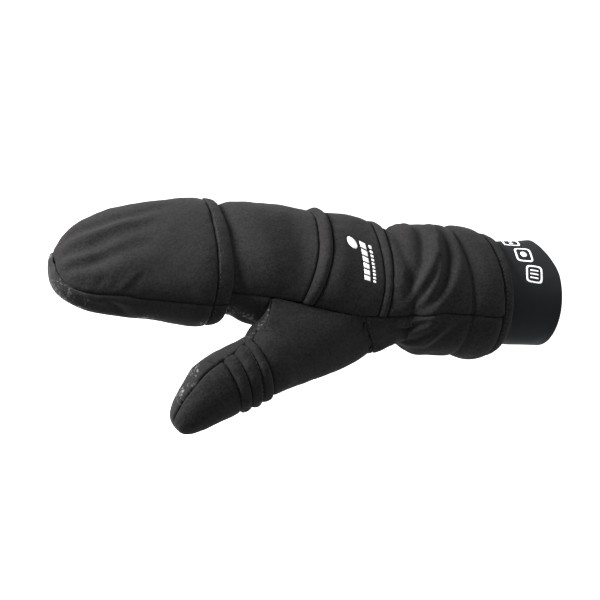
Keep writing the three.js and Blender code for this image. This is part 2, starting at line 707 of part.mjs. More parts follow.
function thumb() {
  const [first, second, third, cap] = THUMB_RIBS;
  const backSeams = { from: (s) => THUMB_SEAM(s) + SEAM_SLIT, to: () => THUMB_LOWER_SEAM - SEAM_SLIT };
  const palmSeams = { from: () => THUMB_LOWEST + SEAM_SLIT, to: (s) => THUMB_SEAM(s) - SEAM_SLIT };
  const thumbShape = { wall: SOFTSHELL, inside: insideThumb };
  add(
    "thumb_gusset",
    MATERIALS.softshell,
    cloak({
      surface: thumbPanel({ start: () => -1, end: () => GUSSET_END, ...backSeams }),
      us: steps(LOFT_ROWS),
      vs: steps(17),
      ...thumbShape,
    }),
  );
  const ribs = [
    ["thumb_rib_3", first, second],
    ["thumb_rib_2", second, third],
    ["thumb_rib_1", third, cap],
  ];
  for (const [name, start, end] of ribs) {
    add(
      name,
      MATERIALS.softshell,
      cloak({
        surface: thumbPanel({ start: () => start + GAP / 2, end: () => end - GAP / 2, ...backSeams }),
        us: steps(5),
        vs: steps(13),
        lift: (x, angle, u) => RIB_PUFF * Math.sin(Math.PI * u),
        follow: 0,
        ...thumbShape,
      }),
    );
  }
  const tip = { u: 1, normal: THUMB_ALONG };
  const apart = THUMB_CROTCH.clone().multiplyScalar(CAP_APART.crotch);
  apart.addScaledVector(THUMB_BACK, CAP_APART.back);
  add(
    "thumb_cap_back",
    MATERIALS.softshell,
    cloak({
      surface: thumbPanel({
        start: () => cap + GAP / 2,
        end: () => THUMB_TIP,
        from: THUMB_SEAM,
        to: () => THUMB_LOWER_SEAM,
      }),
      us: endCrowded(9),
      vs: steps(13),
      lift: (x, angle, u) => CAP_PUFF * Math.sin(Math.PI * Math.min(u * 4, 1)),
      pole: tip,
      shift: apart.clone().multiplyScalar(GAP / 2),
      ...thumbShape,
    }),
  );
  add(
    "thumb_cap_palm",
    MATERIALS.grip,
    cloak({
      surface: thumbPanel({
        start: (psi) => capEdge(psi) + 1.5 * GAP,
        end: () => THUMB_TIP,
        from: () => THUMB_LOWEST,
        to: THUMB_SEAM,
      }),
      us: endCrowded(8),
      vs: steps(12),
      lift: (x, angle, u, v) => CAP_PROUD * Math.max(1 - 3 * u, 0) * Math.sin(Math.PI * v),
      follow: 0,
      pole: tip,
      shift: apart.clone().multiplyScalar(-GAP / 2),
      ...thumbShape,
    }),
  );
  const rows = [...steps(LOFT_ROWS).map((u) => u - 1), ...THUMB_PALM_ROWS, capEdge];
  const surface = (u, v) => {
    const place = THREE.MathUtils.clamp(u, 0, 1) * (rows.length - 1);
    const i = Math.min(Math.floor(place), rows.length - 2);
    const valueOf = (row, psi) => (typeof row === "function" ? row(psi) : row);
    const line = (row) => (psi) => valueOf(row, psi);
    return thumbPanel({ start: line(rows[i]), end: line(rows[i + 1]), ...palmSeams })(place - i, v);
  };
  add(
    "thumb_palm",
    MATERIALS.grip,
    cloak({ surface, us: steps(rows.length), vs: steps(13), ...thumbShape }),
  );
}

// The padded gauntlet, its hem, and the cuff inside it
function gauntlet() {
  const rings = GAUNTLET_RINGS.map(straight);
  const palmLines = [LINES.wristValley, ...rings, LINES.gauntletStitch];
  const backLines = [LINES.wristEdge, straight(BEFORE_VALLEY_X), ...palmLines];
  const shape = { wall: SOFTSHELL, lift: sleeveFolds };
  add(
    "gauntlet_back",
    MATERIALS.softshell,
    cloak({
      surface: panel({ form: SLEEVE, lines: backLines, ...back(SLEEVE_SEAM) }),
      us: steps(backLines.length),
      vs: steps(22),
      shift: UP,
      ...shape,
    }),
  );
  add(
    "gauntlet_palm",
    MATERIALS.softshell,
    cloak({
      surface: panel({ form: SLEEVE, lines: palmLines, ...palm(SLEEVE_SEAM) }),
      us: steps(palmLines.length),
      vs: steps(18),
      shift: DOWN,
      ...shape,
    }),
  );
  const round = { from: () => 0, to: () => 360 };
  const ringColumns = (count) => steps(count + 1).slice(0, count);
  add(
    "gauntlet_hem",
    MATERIALS.softshell,
    cloak({
      surface: panel({ form: SLEEVE, lines: [LINES.gauntletStitch, LINES.gauntletEdge], ...round }),
      us: steps(3),
      vs: ringColumns(32),
      wall: HEM_WALL,
      lift: (x, angle, u) => HEM_PUFF * Math.sin(Math.PI * u),
      follow: 0,
      ring: true,
    }),
  );
  add(
    "inner_cuff",
    MATERIALS.neoprene,
    cloak({
      surface: (u, v) => {
        const angle = 360 * v;
        const x = THREE.MathUtils.lerp(LINES.cuffEnd.x, rimAt(angle), u);
        return { point: CUFF(x, angle), x, angle };
      },
      us: steps(5),
      vs: ringColumns(28),
      wall: NEOPRENE,
      ring: true,
    }),
  );
}

// The cuff's rim at an angle
function rimAt(angle) {
  const facing = Math.cos(THREE.MathUtils.degToRad(angle - RIM_DIP.towards));
  return -RIM_DIP.depth * THREE.MathUtils.smoothstep(facing, RIM_DIP.from, RIM_DIP.to);
}

hood();
handBack();
handPalm();
thumb();
gauntlet();

export default mitten;
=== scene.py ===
import math

import bmesh
import bpy
import numpy as np
from mathutils import Matrix, Vector


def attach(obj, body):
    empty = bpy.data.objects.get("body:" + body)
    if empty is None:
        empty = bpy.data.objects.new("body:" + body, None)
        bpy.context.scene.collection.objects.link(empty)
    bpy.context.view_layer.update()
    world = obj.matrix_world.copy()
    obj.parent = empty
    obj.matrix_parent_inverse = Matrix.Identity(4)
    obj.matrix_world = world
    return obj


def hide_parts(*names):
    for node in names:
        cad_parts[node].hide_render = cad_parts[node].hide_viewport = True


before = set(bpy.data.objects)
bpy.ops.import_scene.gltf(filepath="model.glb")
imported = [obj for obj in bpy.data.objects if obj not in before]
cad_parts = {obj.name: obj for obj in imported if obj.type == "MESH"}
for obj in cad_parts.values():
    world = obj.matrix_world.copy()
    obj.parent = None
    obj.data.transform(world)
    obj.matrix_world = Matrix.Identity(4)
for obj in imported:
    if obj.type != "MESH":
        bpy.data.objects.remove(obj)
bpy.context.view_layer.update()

# Places and sizes are in millimetres in the mitten's frame, and MM turns them into metres.
# The fingers point along -X, the back of the hand is +Z and the thumb is on the -Y side.
# An angle round a tube starts on the little-finger side (+Y), with 90 on the back, 180 on the thumb side
# and 270 on the palm.
MM = 0.001
BODY = "root"

# Cloth and seams
SOFTSHELL = 2.4
HEM_WALL = 2.2
NEOPRENE = 2.0
SEAM_GAP = 0.14
SEAM_TURN = 0.2  # degrees that a piece stops short of a seam along it
THUMB_SLIT = 0.3  # the same round the thumb
PALM_SLIT = 0.15  # millimetres that the palm stops short of the side seam and of the thumb's hole
STEP = 1.25  # between the rows of a piece's grid
NARROW_STEP = 1.0
GAUNTLET_STEP = 1.1
MEASURE_GRID = (24, 48)  # the coarse grid that a piece's size is measured on
EDGE_ROWS = (0, 0.12, 0.35, 0.7, 1.1, 1.6, 2.3, 3.2)  # closer rows where a piece rolls into its seam
EDGES = ("start", "end", "low", "high")
SEAM_DEPTH = 1.5
SEAM_RADIUS = 1.7
ROLL_STEEP = 0.985  # how near the rolled edge comes to upright
PAD_REACH = 4.0  # how far from a seam the padding's swell builds up
POLE_REACH = 6  # the folds fade out so far from the point where a piece closes
PUCKER = {"height": 0.17, "wave": 6.5, "reach": 4.5, "start": 0.8, "seed_shift": 31}
UNEVEN = ((0.22, 26, 0), (0.07, 9, 7))  # height, size and shift of the seed of the cloth's own unevenness
FIELD_WAVES = 20
SHUT = 20  # stands for a long way from a seam, where a piece's two edges meet
WRIST_CLOTH = {"seed": 42, "puff": 0.7}  # on both sides of the wrist's valley, which shows no seam
STITCH = {"pitch": 2.5, "length": 1.75, "radius": 0.24, "sink": 0.1}
BAND_POINTS = 56
FILM = {"over": 0.08, "under": 0.1}  # how far a print stands over its cloth and reaches into it

# Rings along the hood: centre, half width, height over and under the centre, power of the superellipse
RING_COLUMNS = "x y z half_width rise drop power"
HOOD_RINGS = [
    [-190, 14.6, 0, 39.6, 22.0, 19.5, 2.3],
    [-196, 14.3, 0, 41.6, 22.8, 22.8, 2.3],
    [-203, 13.6, 0, 43.0, 22.8, 23.4, 2.3],
    [-215, 11.6, 0, 43.4, 22.2, 21.6, 2.3],
    [-235, 10.8, 0, 39.9, 20.6, 18.6, 2.3],
    [-255, 8.2, 0.2, 36.6, 17.0, 17.0, 2.25],
    [-270, 4.6, 0.6, 31.4, 13.0, 14.8, 2.2],
    [-280, 0.5, 1.2, 23.9, 8.8, 11.3, 2.1],
    [-286.5, -2.3, 2.0, 16.0, 4.6, 8.8, 2.0],
    [-290, -2.8, 2.8, 8.2, 1.2, 6.0, 2.0],
    [-291, -2.8, 3.2, 0, 0, 0, 2.0],
]
# Rings along the fingerless shell, from inside the hood over the wrist to the gauntlet's end
SLEEVE_RINGS = [
    [-228, 12.8, 0, 33.0, 17.0, 16.5, 2.3],
    [-208, 13.8, 0, 36.2, 18.8, 18.2, 2.3],
    [-192, 14.6, 0, 37.2, 20.2, 18.8, 2.3],
    [-183, 14.6, 0, 39.6, 22.6, 21.0, 2.3],
    [-160, 13.4, 0, 41.7, 23.2, 23.0, 2.3],
    [-135, 8.8, 0, 41.4, 24.0, 24.6, 2.3],
    [-115, 6.0, 0, 41.6, 25.4, 25.6, 2.3],
    [-104, 3.2, 0, 40.4, 26.2, 25.8, 2.25],
    [-98, 1.2, 0, 38.6, 26.0, 25.6, 2.2],
    [-93, -0.4, 0, 35.7, 24.3, 25.0, 2.2],
    [-88, -1.2, 0, 39.3, 27.0, 26.8, 2.2],
    [-83, -1.6, 0, 41.5, 29.0, 28.2, 2.2],
    [-75, -1.4, 0, 41.2, 29.8, 29.4, 2.2],
    [-60, -1.8, 0, 41.0, 31.0, 31.0, 2.2],
    [-46, -3.0, 0, 40.4, 31.4, 32.6, 2.2],
    [-38, -3.6, 0, 37.0, 30.4, 31.6, 2.15],
    [-33, -3.7, 0, 34.9, 29.6, 30.2, 2.1],
]
CUFF_RINGS = [
    [-62, -2.2, 0, 29.0, 25.2, 25.2, 2.1],
    [-34, -2.0, 0, 30.4, 27.0, 27.0, 2.1],
    [-22, -1.6, 0, 31.2, 27.8, 28.4, 2.1],
    [-10, -0.8, 0, 32.2, 28.0, 28.7, 2.1],
    [0, -0.2, 0, 33.0, 28.2, 28.9, 2.1],
]

# The thumb-side seam along each tube; the seam on the sleeve's little-finger side mirrors it
HOOD_SEAM_ROWS = [
    [-291, 72], [-288.9, 72], [-288.6, 84], [-288.2, 104], [-287.4, 119], [-285.4, 136], [-282.6, 146],
    [-279, 152], [-271, 156], [-255, 157], [-243, 163], [-215, 164], [-207, 167], [-196, 172],
]
HOOD_FAR_SEAM_ROWS = [
    [-291, 72], [-288.9, 72], [-288.6, 56], [-288.2, 26], [-287.4, 2], [-285.4, -10], [-281, -8],
    [-273, 6], [-262, 17], [-243, 17], [-215, 16], [-207, 13], [-196, 8],
]
SLEEVE_SEAM_ROWS = [
    [-228, 162], [-192, 161], [-176, 160], [-156, 162], [-129, 168],
    [-110, 166], [-91, 158], [-80, 151.5], [-60, 152.5], [-33, 154],
]

# Lines sewn across the tubes: x, lean to the little finger, lean to the back
HOOD_TIP = (-291, 0, 0)
HOOD_BACK_TIP = (-288.7, 0, 0)
HOOD_STITCH = (-203, 3.2, 1.2)
HOOD_EDGE = (-195.8, 1.2, 2.6)
SHELL_END = (-226, 0, 0)
ROLL_START = (-150.3, 9.7, 8.7)
ROLL_END = (-142.9, 9.7, 8.7)
THUMB_BACK_LINE = {"seam": -120, "palm": -107, "from": 166, "to": 222}  # x at two angles, and the angles
WRIST_STITCH = (-109.8, 4.5, 4.2)
WRIST_EDGE = (-103, 5.8, 2.6)
WRIST_VALLEY = (-93, 6, 0)
GAUNTLET_STITCH = (-39.5, 0, 0)
GAUNTLET_EDGE = (-33, 0, 0)
CUFF_END_X = -60
QUILT = {"x": -59.5, "depth": 2.6, "width": 1.7}  # the gauntlet's quilted line
HEM_FALL = 1.1  # how far the hood's hem sinks to its open edge
LEVEL = {"wrist": 0.7, "thumb": 0.85, "thumb_turn": (118, 135)}  # how much of a seam's sink is taken back
RIM_DIP = {"depth": 5.2, "towards": 20, "from": -0.1, "to": 0.75}  # how far the cuff's rim is cut back
INSIDE = {"tip_x": -262, "y": 6}  # a line inside the tubes, which tells outwards from inwards

# Soft folds over 0 and dents under 0: name, half width, height, and a line of (x, angle) that each follows
FOLD_RADIUS = 34  # turns an angle into a length round the tube
FOLD_END = 0.35  # how much of a fold's height is left at its ends
HOOD_FOLDS = [
    ["dent over the index finger", 4.6, -1.3, [(-285, 112), (-274, 112), (-261, 105), (-240, 95)]],
    ["dent over the middle finger", 4.4, -1.5, [(-284, 78), (-272, 90), (-255, 86), (-232, 80)]],
    ["dent over the ring finger", 4.4, -1.3, [(-279, 50), (-268, 64), (-252, 66), (-226, 60)]],
    ["swell between the dents", 3.4, 0.8, [(-281, 64), (-270, 76), (-254, 76), (-232, 71)]],
    ["second swell", 3.6, 0.7, [(-283, 96), (-268, 100), (-248, 92), (-236, 88)]],
    ["swell over the index finger", 6.0, 0.8, [(-280, 126), (-262, 122), (-238, 112)]],
    ["wrinkle at the seam", 1.9, -0.5, [(-253.5, 150), (-249, 139), (-245, 132)]],
    ["swell beside the wrinkle", 2.6, 0.4, [(-257, 146), (-252, 137), (-248, 130)]],
    ["small wrinkle at the seam", 1.8, -0.35, [(-269, 144), (-265, 131)]],
    ["faint wrinkle at the seam", 1.8, -0.3, [(-262, 152), (-258, 138)]],
    ["swell before the hem", 11, 1.0, [(-208, 48), (-207, 95), (-206, 140)]],
    ["dip over the knuckles", 12, -0.9, [(-236, 50), (-236, 95), (-234, 140)]],
    ["wrinkle under the seam", 2.4, -1.0, [(-263, 168), (-258, 178), (-253, 192)]],
    ["swell beside that wrinkle", 3.4, 0.7, [(-256, 167), (-251, 176), (-246, 188)]],
    ["dent under the fingertips", 6, -1.2, [(-278, 176), (-262, 182), (-246, 178)]],
    ["dent in the palm of the hood", 7, -1.4, [(-262, 240), (-222, 250)]],
    ["swell in the palm of the hood", 8, 1.0, [(-270, 290), (-225, 300)]],
]
SLEEVE_FOLDS = [
    ["swell behind the hood", 10, 2.8, [(-176, 56), (-175, 96), (-174, 136)]],
    ["dip before the roll", 7, -2.3, [(-151, 56), (-153, 96), (-156, 136)]],
    ["swell behind the roll", 8, 2.3, [(-131, 82), (-131, 96), (-135, 120), (-139, 148)]],
    ["dip before the wrist", 12, -4.0, [(-109, 66), (-110, 95), (-110, 150)]],
    ["palm crease", 5, -1.6, [(-176, 330), (-140, 262)]],
    ["second palm crease", 5, -1.2, [(-160, 330), (-128, 300)]],
    ["swell of the palm before the thumb", 7, 2.2, [(-184, 206), (-177, 207), (-172, 206)]],
    ["swell at the thumb's root", 10, 6.4, [(-130, 218), (-119, 223), (-111, 213)]],
    ["swell before the wrist pinch", 5.5, 3.0, [(-113, 217), (-108, 215), (-102, 211)]],
    ["thumb-side wrist pinch", 3.6, -2.6, [(-105, 166), (-103, 183), (-99, 206)]],
    ["cloth over the wrist's valley", 4.0, 2.4, [(-92.5, 160), (-92.5, 180), (-92, 205)]],
    ["first crest", 3.0, 1.2, [(-84, 40), (-86, 60), (-89.5, 78), (-92, 92)]],
    ["first valley", 3.1, -3.4,
     [(-78, 44), (-79.8, 62), (-82, 80), (-85, 94), (-89, 108), (-93.5, 122), (-97, 140)]],
    ["short crest", 2.9, 2.3, [(-76, 82), (-80, 100), (-85.5, 114), (-90.5, 128), (-94, 143)]],
    ["narrow valley", 1.9, -2.8, [(-77, 100), (-81.5, 113), (-86.5, 126), (-91.5, 141), (-94, 150)]],
    ["long crest", 3.2, 2.3,
     [(-71, 54), (-72, 68), (-73.5, 82), (-76, 95), (-78.5, 108), (-82, 121), (-92, 148)]],
    ["long valley", 2.8, -3.5,
     [(-65.5, 58), (-67, 80), (-70.2, 97), (-73.2, 111), (-77.8, 125), (-83.5, 138), (-89.5, 150)]],
    ["broad crest", 4.4, 1.9,
     [(-63, 66), (-64, 88), (-66, 104), (-70, 119), (-75.5, 132), (-82, 143), (-87.5, 152)]],
    ["side crest", 1.9, 1.6, [(-101, 171), (-94, 170), (-89, 161.5), (-84, 156)]],
    ["side valley", 1.5, -1.7, [(-99, 177), (-93, 174.5), (-89.5, 166.5), (-86, 160)]],
    ["second side crest", 2.0, 1.7, [(-96, 190), (-91, 179), (-87.7, 169.5), (-84, 162)]],
    ["second side valley", 1.9, -1.7, [(-93, 196), (-88, 184), (-83, 172.5), (-79, 164)]],
    ["third side crest", 3.8, 0.9, [(-90, 198), (-83.5, 181), (-77, 168), (-73, 159)]],
    ["third side valley", 3.6, -1.5, [(-85, 200), (-76, 181), (-69.5, 168), (-65, 158)]],
    ["under crest", 3.6, 0.8, [(-66, 214), (-80, 214), (-92, 228)]],
    ["palm valley", 3.4, -2.0, [(-68, 232), (-80, 236), (-92, 250)]],
    ["palm crest", 4.0, 1.8, [(-66, 252), (-80, 256), (-92, 266)]],
    ["second palm valley", 3.6, -2.0, [(-70, 272), (-82, 276), (-92, 284)]],
    ["second palm crest", 4.0, 1.6, [(-66, 292), (-80, 296), (-90, 304)]],
    ["third palm valley", 3.6, -1.7, [(-72, 314), (-84, 318), (-92, 326)]],
    ["little-finger crest", 4.0, 1.5, [(-68, 338), (-80, 344), (-90, 350)]],
    ["little-finger valley", 3.4, -1.8, [(-70, 358), (-82, 2), (-92, 8)]],
    ["second little-finger crest", 3.6, 1.6, [(-70, 16), (-82, 22), (-91, 30)]],
    ["back swell after the quilting", 5, 0.8, [(-52, 60), (-51, 140)]],
    ["palm swell after the quilting", 5, 0.9, [(-50, 215), (-48, 320)]],
]

# The thumb: rings square to a straight axis that starts at its first sewn line
THUMB_START = np.array([-178.5, -54.5, -13.2])
THUMB_ALONG = np.array([-0.84, -0.374, -0.393])
THUMB_ALONG /= np.linalg.norm(THUMB_ALONG)
THUMB_BACK = np.array([-0.1007, -0.6043, 0.7904])
THUMB_CROTCH = np.cross(THUMB_ALONG, THUMB_BACK)
THUMB_CROTCH /= np.linalg.norm(THUMB_CROTCH)
THUMB_COLUMNS = "along shift half_width half_depth"
THUMB_RINGS = [
    [0, 0.8, 17.6, 15.0],
    [8, 1.6, 17.4, 15.0],
    [15, 2.1, 17.5, 14.8],
    [22, 3.0, 17.3, 14.7],
    [30, 3.5, 16.5, 14.5],
    [38.6, 2.6, 14.2, 13.4],
    [48, 1.0, 11.4, 10.8],
    [54.6, -0.4, 8.0, 7.4],
    [57.8, -0.9, 4.4, 4.2],
    [58.8, -1.1, 0, 0],
]
# The sewn lines round the ribs: length along the thumb on its upper side, and how much further it is below
RIB_LINES = [[0, 4.4], [5.0, 6.4], [13.2, 4.8], [20.3, 3.7]]
RIB_TURN = (55, 175)
RIB_STEP = 0.8
RIB_SWELL = {"height": 1.45, "power": 0.75, "shallow": 0.55}
THUMB_STEP = 0.95
THUMB_TIP = 58.8
THUMB_TIP_MIDDLE = 46  # the point inside the thumb that its tip bulges away from
THUMB_SEAM_ROWS = [
    [-1, 56], [-0.66, 56], [-0.46, 52], [-0.3, 41], [-0.12, 31], [3.5, 32], [6.3, 35.5],
    [13.5, 44], [20, 48], [28, 51], [39, 51.5], [50, 52], [58.8, 52],
]
THUMB_LOWER_SEAM = 200
THUMB_LOWEST = THUMB_LOWER_SEAM - 360
THUMB_RADIUS = 16
THUMB_ROOT = np.array([-143, -20, -9])
THUMB_ROOT_RUN = 34
GUSSET_SHARE = 0.92  # of its rows that lie before the thumb's first ring
THUMB_PALM_SHARE = 0.56
CAP_EDGE = {"least": 24, "bow": 12, "last": 48, "spread": 208}
THUMB_FOLDS = [
    ["swell before the first rib", 4.0, 1.0, [(-7, 34), (-6, 70), (-5, 110), (-4, 150)]],
    ["dip behind that swell", 4.0, -0.8, [(-15, 50), (-14, 80), (-12, 120)]],
]

# The thumb hole in the shell: a rounded outline between the side seam and the palm
PALM_FRONT_X = -226
HOLE = {"front": -173.5, "middle": -140, "power": 2.6, "reach": 84, "wrist_reach": 64, "crotch_turn": 26}
HOLE_TOP = {"front": 55, "wrist": 125}  # angles round the thumb at the corners of the hole's top
HOLE_CROTCH = 12  # and at its crotch
ROUND_SHARE = 0.6  # of the way from the crotch to the palm that is the rounded end
OUTLINE_POINTS = 400
WEB = {"off": 2.6, "width": 1.7, "rise": (-182, -175), "fall": (-166, -160)}  # raised beside the hole
# How the skin leaves the hole at angles round the thumb: its pull, its lean outwards, its pull at the thumb
LEAVE_COLUMNS = "psi pull lean arrive"
LEAVES = [
    [-160, 40, 1.3, 24],
    [-100, 24, 0.5, 20],
    [-60, 30, 0.8, 14],
    [-20, 62, 0.3, 4],
    [12, 54, 0.1, 5],
    [50, 20, 0.6, 20],
    [90, 18, 0.35, 24],
    [130, 28, 0.6, 24],
    [165, 47, 1.1, 24],
    [200, 48, 1.5, 24],
]


# Forms

def hermite(f, start, leave, end, arrive):
    """A smooth run from start to end, with the slopes at which it leaves and arrives."""
    return (
        (2 * f**3 - 3 * f**2 + 1) * start
        + (f**3 - 2 * f**2 + f) * leave
        + (3 * f**2 - 2 * f**3) * end
        + (f**3 - f**2) * arrive
    )


def spline(values, place):
    """The smooth value of a column at places between its rows."""
    last = len(values) - 1
    place = np.clip(place, 0, last)
    i = np.minimum(place.astype(int), last - 1)
    before, start, end, after = (values[np.clip(i + k, 0, last)] for k in (-1, 0, 1, 2))
    return hermite(place - i, start, (end - before) / 2, end, (after - start) / 2)


class Rows:
    """A short table with named columns, read smoothly at any value of its first column."""

    def __init__(self, heading, rows):
        self.names = heading.split()
        self.values = np.array(rows, float)
        self.places = np.linspace(0, len(rows) - 1, 6001)
        self.keys = spline(self.values[:, 0], self.places)
        if self.keys[-1] < self.keys[0]:
            self.places, self.keys = self.places[::-1], self.keys[::-1]

    def __call__(self, name, key):
        place = np.interp(key, self.keys, self.places)
        return spline(self.values[:, self.names.index(name)], place)


def bent(wave, power):
    """A sine or cosine bent to a superellipse of that power."""
    return np.sign(wave) * np.abs(wave) ** (2 / power)


def tube(rows):
    """A tube of superellipse rings: gives points at lengths and angles."""
    rings = Rows(RING_COLUMNS, rows)

    def form(x, angle):
        turn = np.radians(angle)
        across = bent(np.cos(turn), rings("power", x))
        up = bent(np.sin(turn), rings("power", x))
        height = np.where(up > 0, rings("rise", x), rings("drop", x))
        y = rings("y", x) + np.maximum(rings("half_width", x), 0) * across
        z = rings("z", x) + np.maximum(height, 0) * up
        return np.stack([rings("x", x), y, z], -1)

    return form


def seam(rows):
    """The angle of a seam as a function of the length along it."""
    table = Rows("x angle", rows)
    return lambda x: table("angle", x)


hood_form = tube(HOOD_RINGS)
sleeve_form = tube(SLEEVE_RINGS)
cuff_form = tube(CUFF_RINGS)
hood_seam = seam(HOOD_SEAM_ROWS)
hood_far_seam = seam(HOOD_FAR_SEAM_ROWS)
sleeve_seam = seam(SLEEVE_SEAM_ROWS)
thumb_seam = seam(THUMB_SEAM_ROWS)
thumb_rings = Rows(THUMB_COLUMNS, THUMB_RINGS)
leaves = Rows(LEAVE_COLUMNS, LEAVES)


def unit(v):
    return v / np.maximum(np.linalg.norm(v, axis=-1, keepdims=True), 1e-9)


def runs(points, axis=0):
    """Lengths along lines of points, from 0 at the first point."""
    steps = np.linalg.norm(np.diff(points, axis=axis), axis=-1)
    return np.cumsum(np.insert(steps, 0, 0, axis=axis), axis=axis)


def grid_of(us, vs):
    """Two grids that hold each pair of a us row and a vs column."""
    return np.meshgrid(us, vs, indexing="ij")


def line(a_line):
    """Where a sewn line crosses an angle."""
    x, little, back = a_line
    return lambda angle: x + little * np.cos(np.radians(angle)) + back * np.sin(np.radians(angle))


def smoothstep(x, low, high):
    t = np.clip((x - low) / (high - low), 0, 1)
    return t * t * (3 - 2 * t)


def fold_lift(folds, a, b, radius):
    """How far the folds lift the cloth at lengths a and angles b."""
    lift = np.zeros(np.shape(a))
    round_ = math.radians(1) * radius
    for _, width, height, way in folds:
        points = np.array(way, float)
        points[:, 1] = np.degrees(np.unwrap(np.radians(points[:, 1])))
        places = np.linspace(0, len(points) - 1, 12 * len(points))
        xs = spline(points[:, 0], places)
        ys = spline(points[:, 1], places)
        taper = FOLD_END + (1 - FOLD_END) * np.sin(np.pi * places / places[-1]) ** 0.7
        middle = ys.mean()
        away = (b - middle + 180) % 360 - 180 + middle
        best = np.zeros(np.shape(a))
        for x, y, share in zip(xs, ys, taper):
            distance2 = (a - x) ** 2 + ((away - y) * round_) ** 2
            best = np.maximum(best, share * np.exp(-distance2 / width**2))
        lift += height * best
    return lift


def field(points, size, seed):
    """A smooth random field over points in space, with features of about that size, from -1 to 1 or so."""
    draw = np.random.default_rng(seed)
    ways = draw.normal(size=(FIELD_WAVES, 3))
    lengths = np.linalg.norm(ways, axis=1, keepdims=True)
    ways *= (2 * np.pi / size) * draw.uniform(0.6, 1.25, (FIELD_WAVES, 1)) / lengths
    phases = draw.uniform(0, 2 * np.pi, FIELD_WAVES)
    return sum(np.sin(points @ way + phase) for way, phase in zip(ways, phases)) / math.sqrt(FIELD_WAVES)


def hood_lift(a, b):
    return smoothstep(a, -290, -280) * fold_lift(HOOD_FOLDS, a, b, FOLD_RADIUS)


def sleeve_lift(a, b):
    quilt = QUILT["depth"] * np.exp(-np.abs((a - QUILT["x"]) / QUILT["width"]) ** 1.3)
    return fold_lift(SLEEVE_FOLDS, a, b, FOLD_RADIUS) - quilt


def thumb_lift(a, b):
    along = np.where(a < 0, a * THUMB_ROOT_RUN, a)
    return fold_lift(THUMB_FOLDS, along, b, THUMB_RADIUS)


def thumb_back(angle):
    """Where the thumb's back line crosses an angle round the sleeve."""
    share = smoothstep(angle, THUMB_BACK_LINE["from"], THUMB_BACK_LINE["to"])
    return THUMB_BACK_LINE["seam"] + (THUMB_BACK_LINE["palm"] - THUMB_BACK_LINE["seam"]) * share


def hole_end(turn):
    """The (x, angle) on the hole's rounded end that a turn of 0 to 90 degrees reaches."""
    cos, sin = (bent(np.clip(wave(np.radians(turn)), 0, 1), HOLE["power"]) for wave in (np.cos, np.sin))
    x = HOLE["middle"] + (HOLE["front"] - HOLE["middle"]) * cos
    return x, sleeve_seam(x) + HOLE["reach"] * sin


def hole_run(share):
    """The (x, angle) on the hole's palm side, from its rounded end to the thumb's back line."""
    x = HOLE["middle"] + (THUMB_BACK_LINE["palm"] - HOLE["middle"]) * share
    return x, sleeve_seam(x) + HOLE["reach"] + (HOLE["wrist_reach"] - HOLE["reach"]) * share**2


def hole_at(psi):
    """The (x, angle) on the thumb hole's outline that angles round the thumb start from."""
    wrist = THUMB_BACK_LINE["seam"]
    palm_share = (HOLE_CROTCH - psi) / (HOLE_CROTCH - THUMB_LOWEST)
    turn = HOLE["crotch_turn"]
    rounded = hole_end(turn + (90 - turn) * np.clip(palm_share / ROUND_SHARE, 0, 1))
    run = hole_run(np.clip((palm_share - ROUND_SHARE) / (1 - ROUND_SHARE), 0, 1))
    front = hole_end(turn * np.clip((HOLE_TOP["front"] - psi) / (HOLE_TOP["front"] - HOLE_CROTCH), 0, 1))
    top_x = HOLE["front"] + (wrist - HOLE["front"]) * np.clip(
        (psi - HOLE_TOP["front"]) / (HOLE_TOP["wrist"] - HOLE_TOP["front"]), 0, 1
    )
    wrist_share = np.clip((psi - HOLE_TOP["wrist"]) / (THUMB_LOWER_SEAM - HOLE_TOP["wrist"]), 0, 1)
    wrist_start = float(sleeve_seam(wrist))
    wrist_angle = wrist_start + (float(hole_run(1)[1]) - wrist_start) * wrist_share
    where = [
        (psi <= HOLE_CROTCH) & (palm_share <= ROUND_SHARE),
        psi <= HOLE_CROTCH,
        psi <= HOLE_TOP["front"],
        psi <= HOLE_TOP["wrist"],
    ]
    x = np.select(where, [rounded[0], run[0], front[0], top_x], thumb_back(wrist_angle))
    angle = np.select(where, [rounded[1], run[1], front[1], sleeve_seam(top_x)], wrist_angle)
    return x, angle


def inside_tube(points):
    middle = np.zeros_like(points)
    middle[..., 0] = np.maximum(points[..., 0], INSIDE["tip_x"])
    middle[..., 1] = INSIDE["y"]
    return middle


def sleeve_normal(x, angle):
    """The sleeve's outward normal, from small steps along and round it."""
    dx, turn = 0.4, 0.8
    across = sleeve_form(x + dx, angle) - sleeve_form(x - dx, angle)
    around = sleeve_form(x, angle + turn) - sleeve_form(x, angle - turn)
    normal = unit(np.cross(across, around))
    outwards = sleeve_form(x, angle) - inside_tube(sleeve_form(x, angle))
    facing = np.sum(normal * outwards, -1, keepdims=True)
    return np.where(facing < 0, -normal, normal)


def thumb_ring(along, psi):
    turn = np.radians(psi)
    across = np.maximum(thumb_rings("half_width", along), 0) * np.cos(turn) + thumb_rings("shift", along)
    deep = np.maximum(thumb_rings("half_depth", along), 0) * np.sin(turn)
    return (
        THUMB_START
        + thumb_rings("along", along)[..., None] * THUMB_ALONG
        + across[..., None] * THUMB_CROTCH
        + deep[..., None] * THUMB_BACK
    )


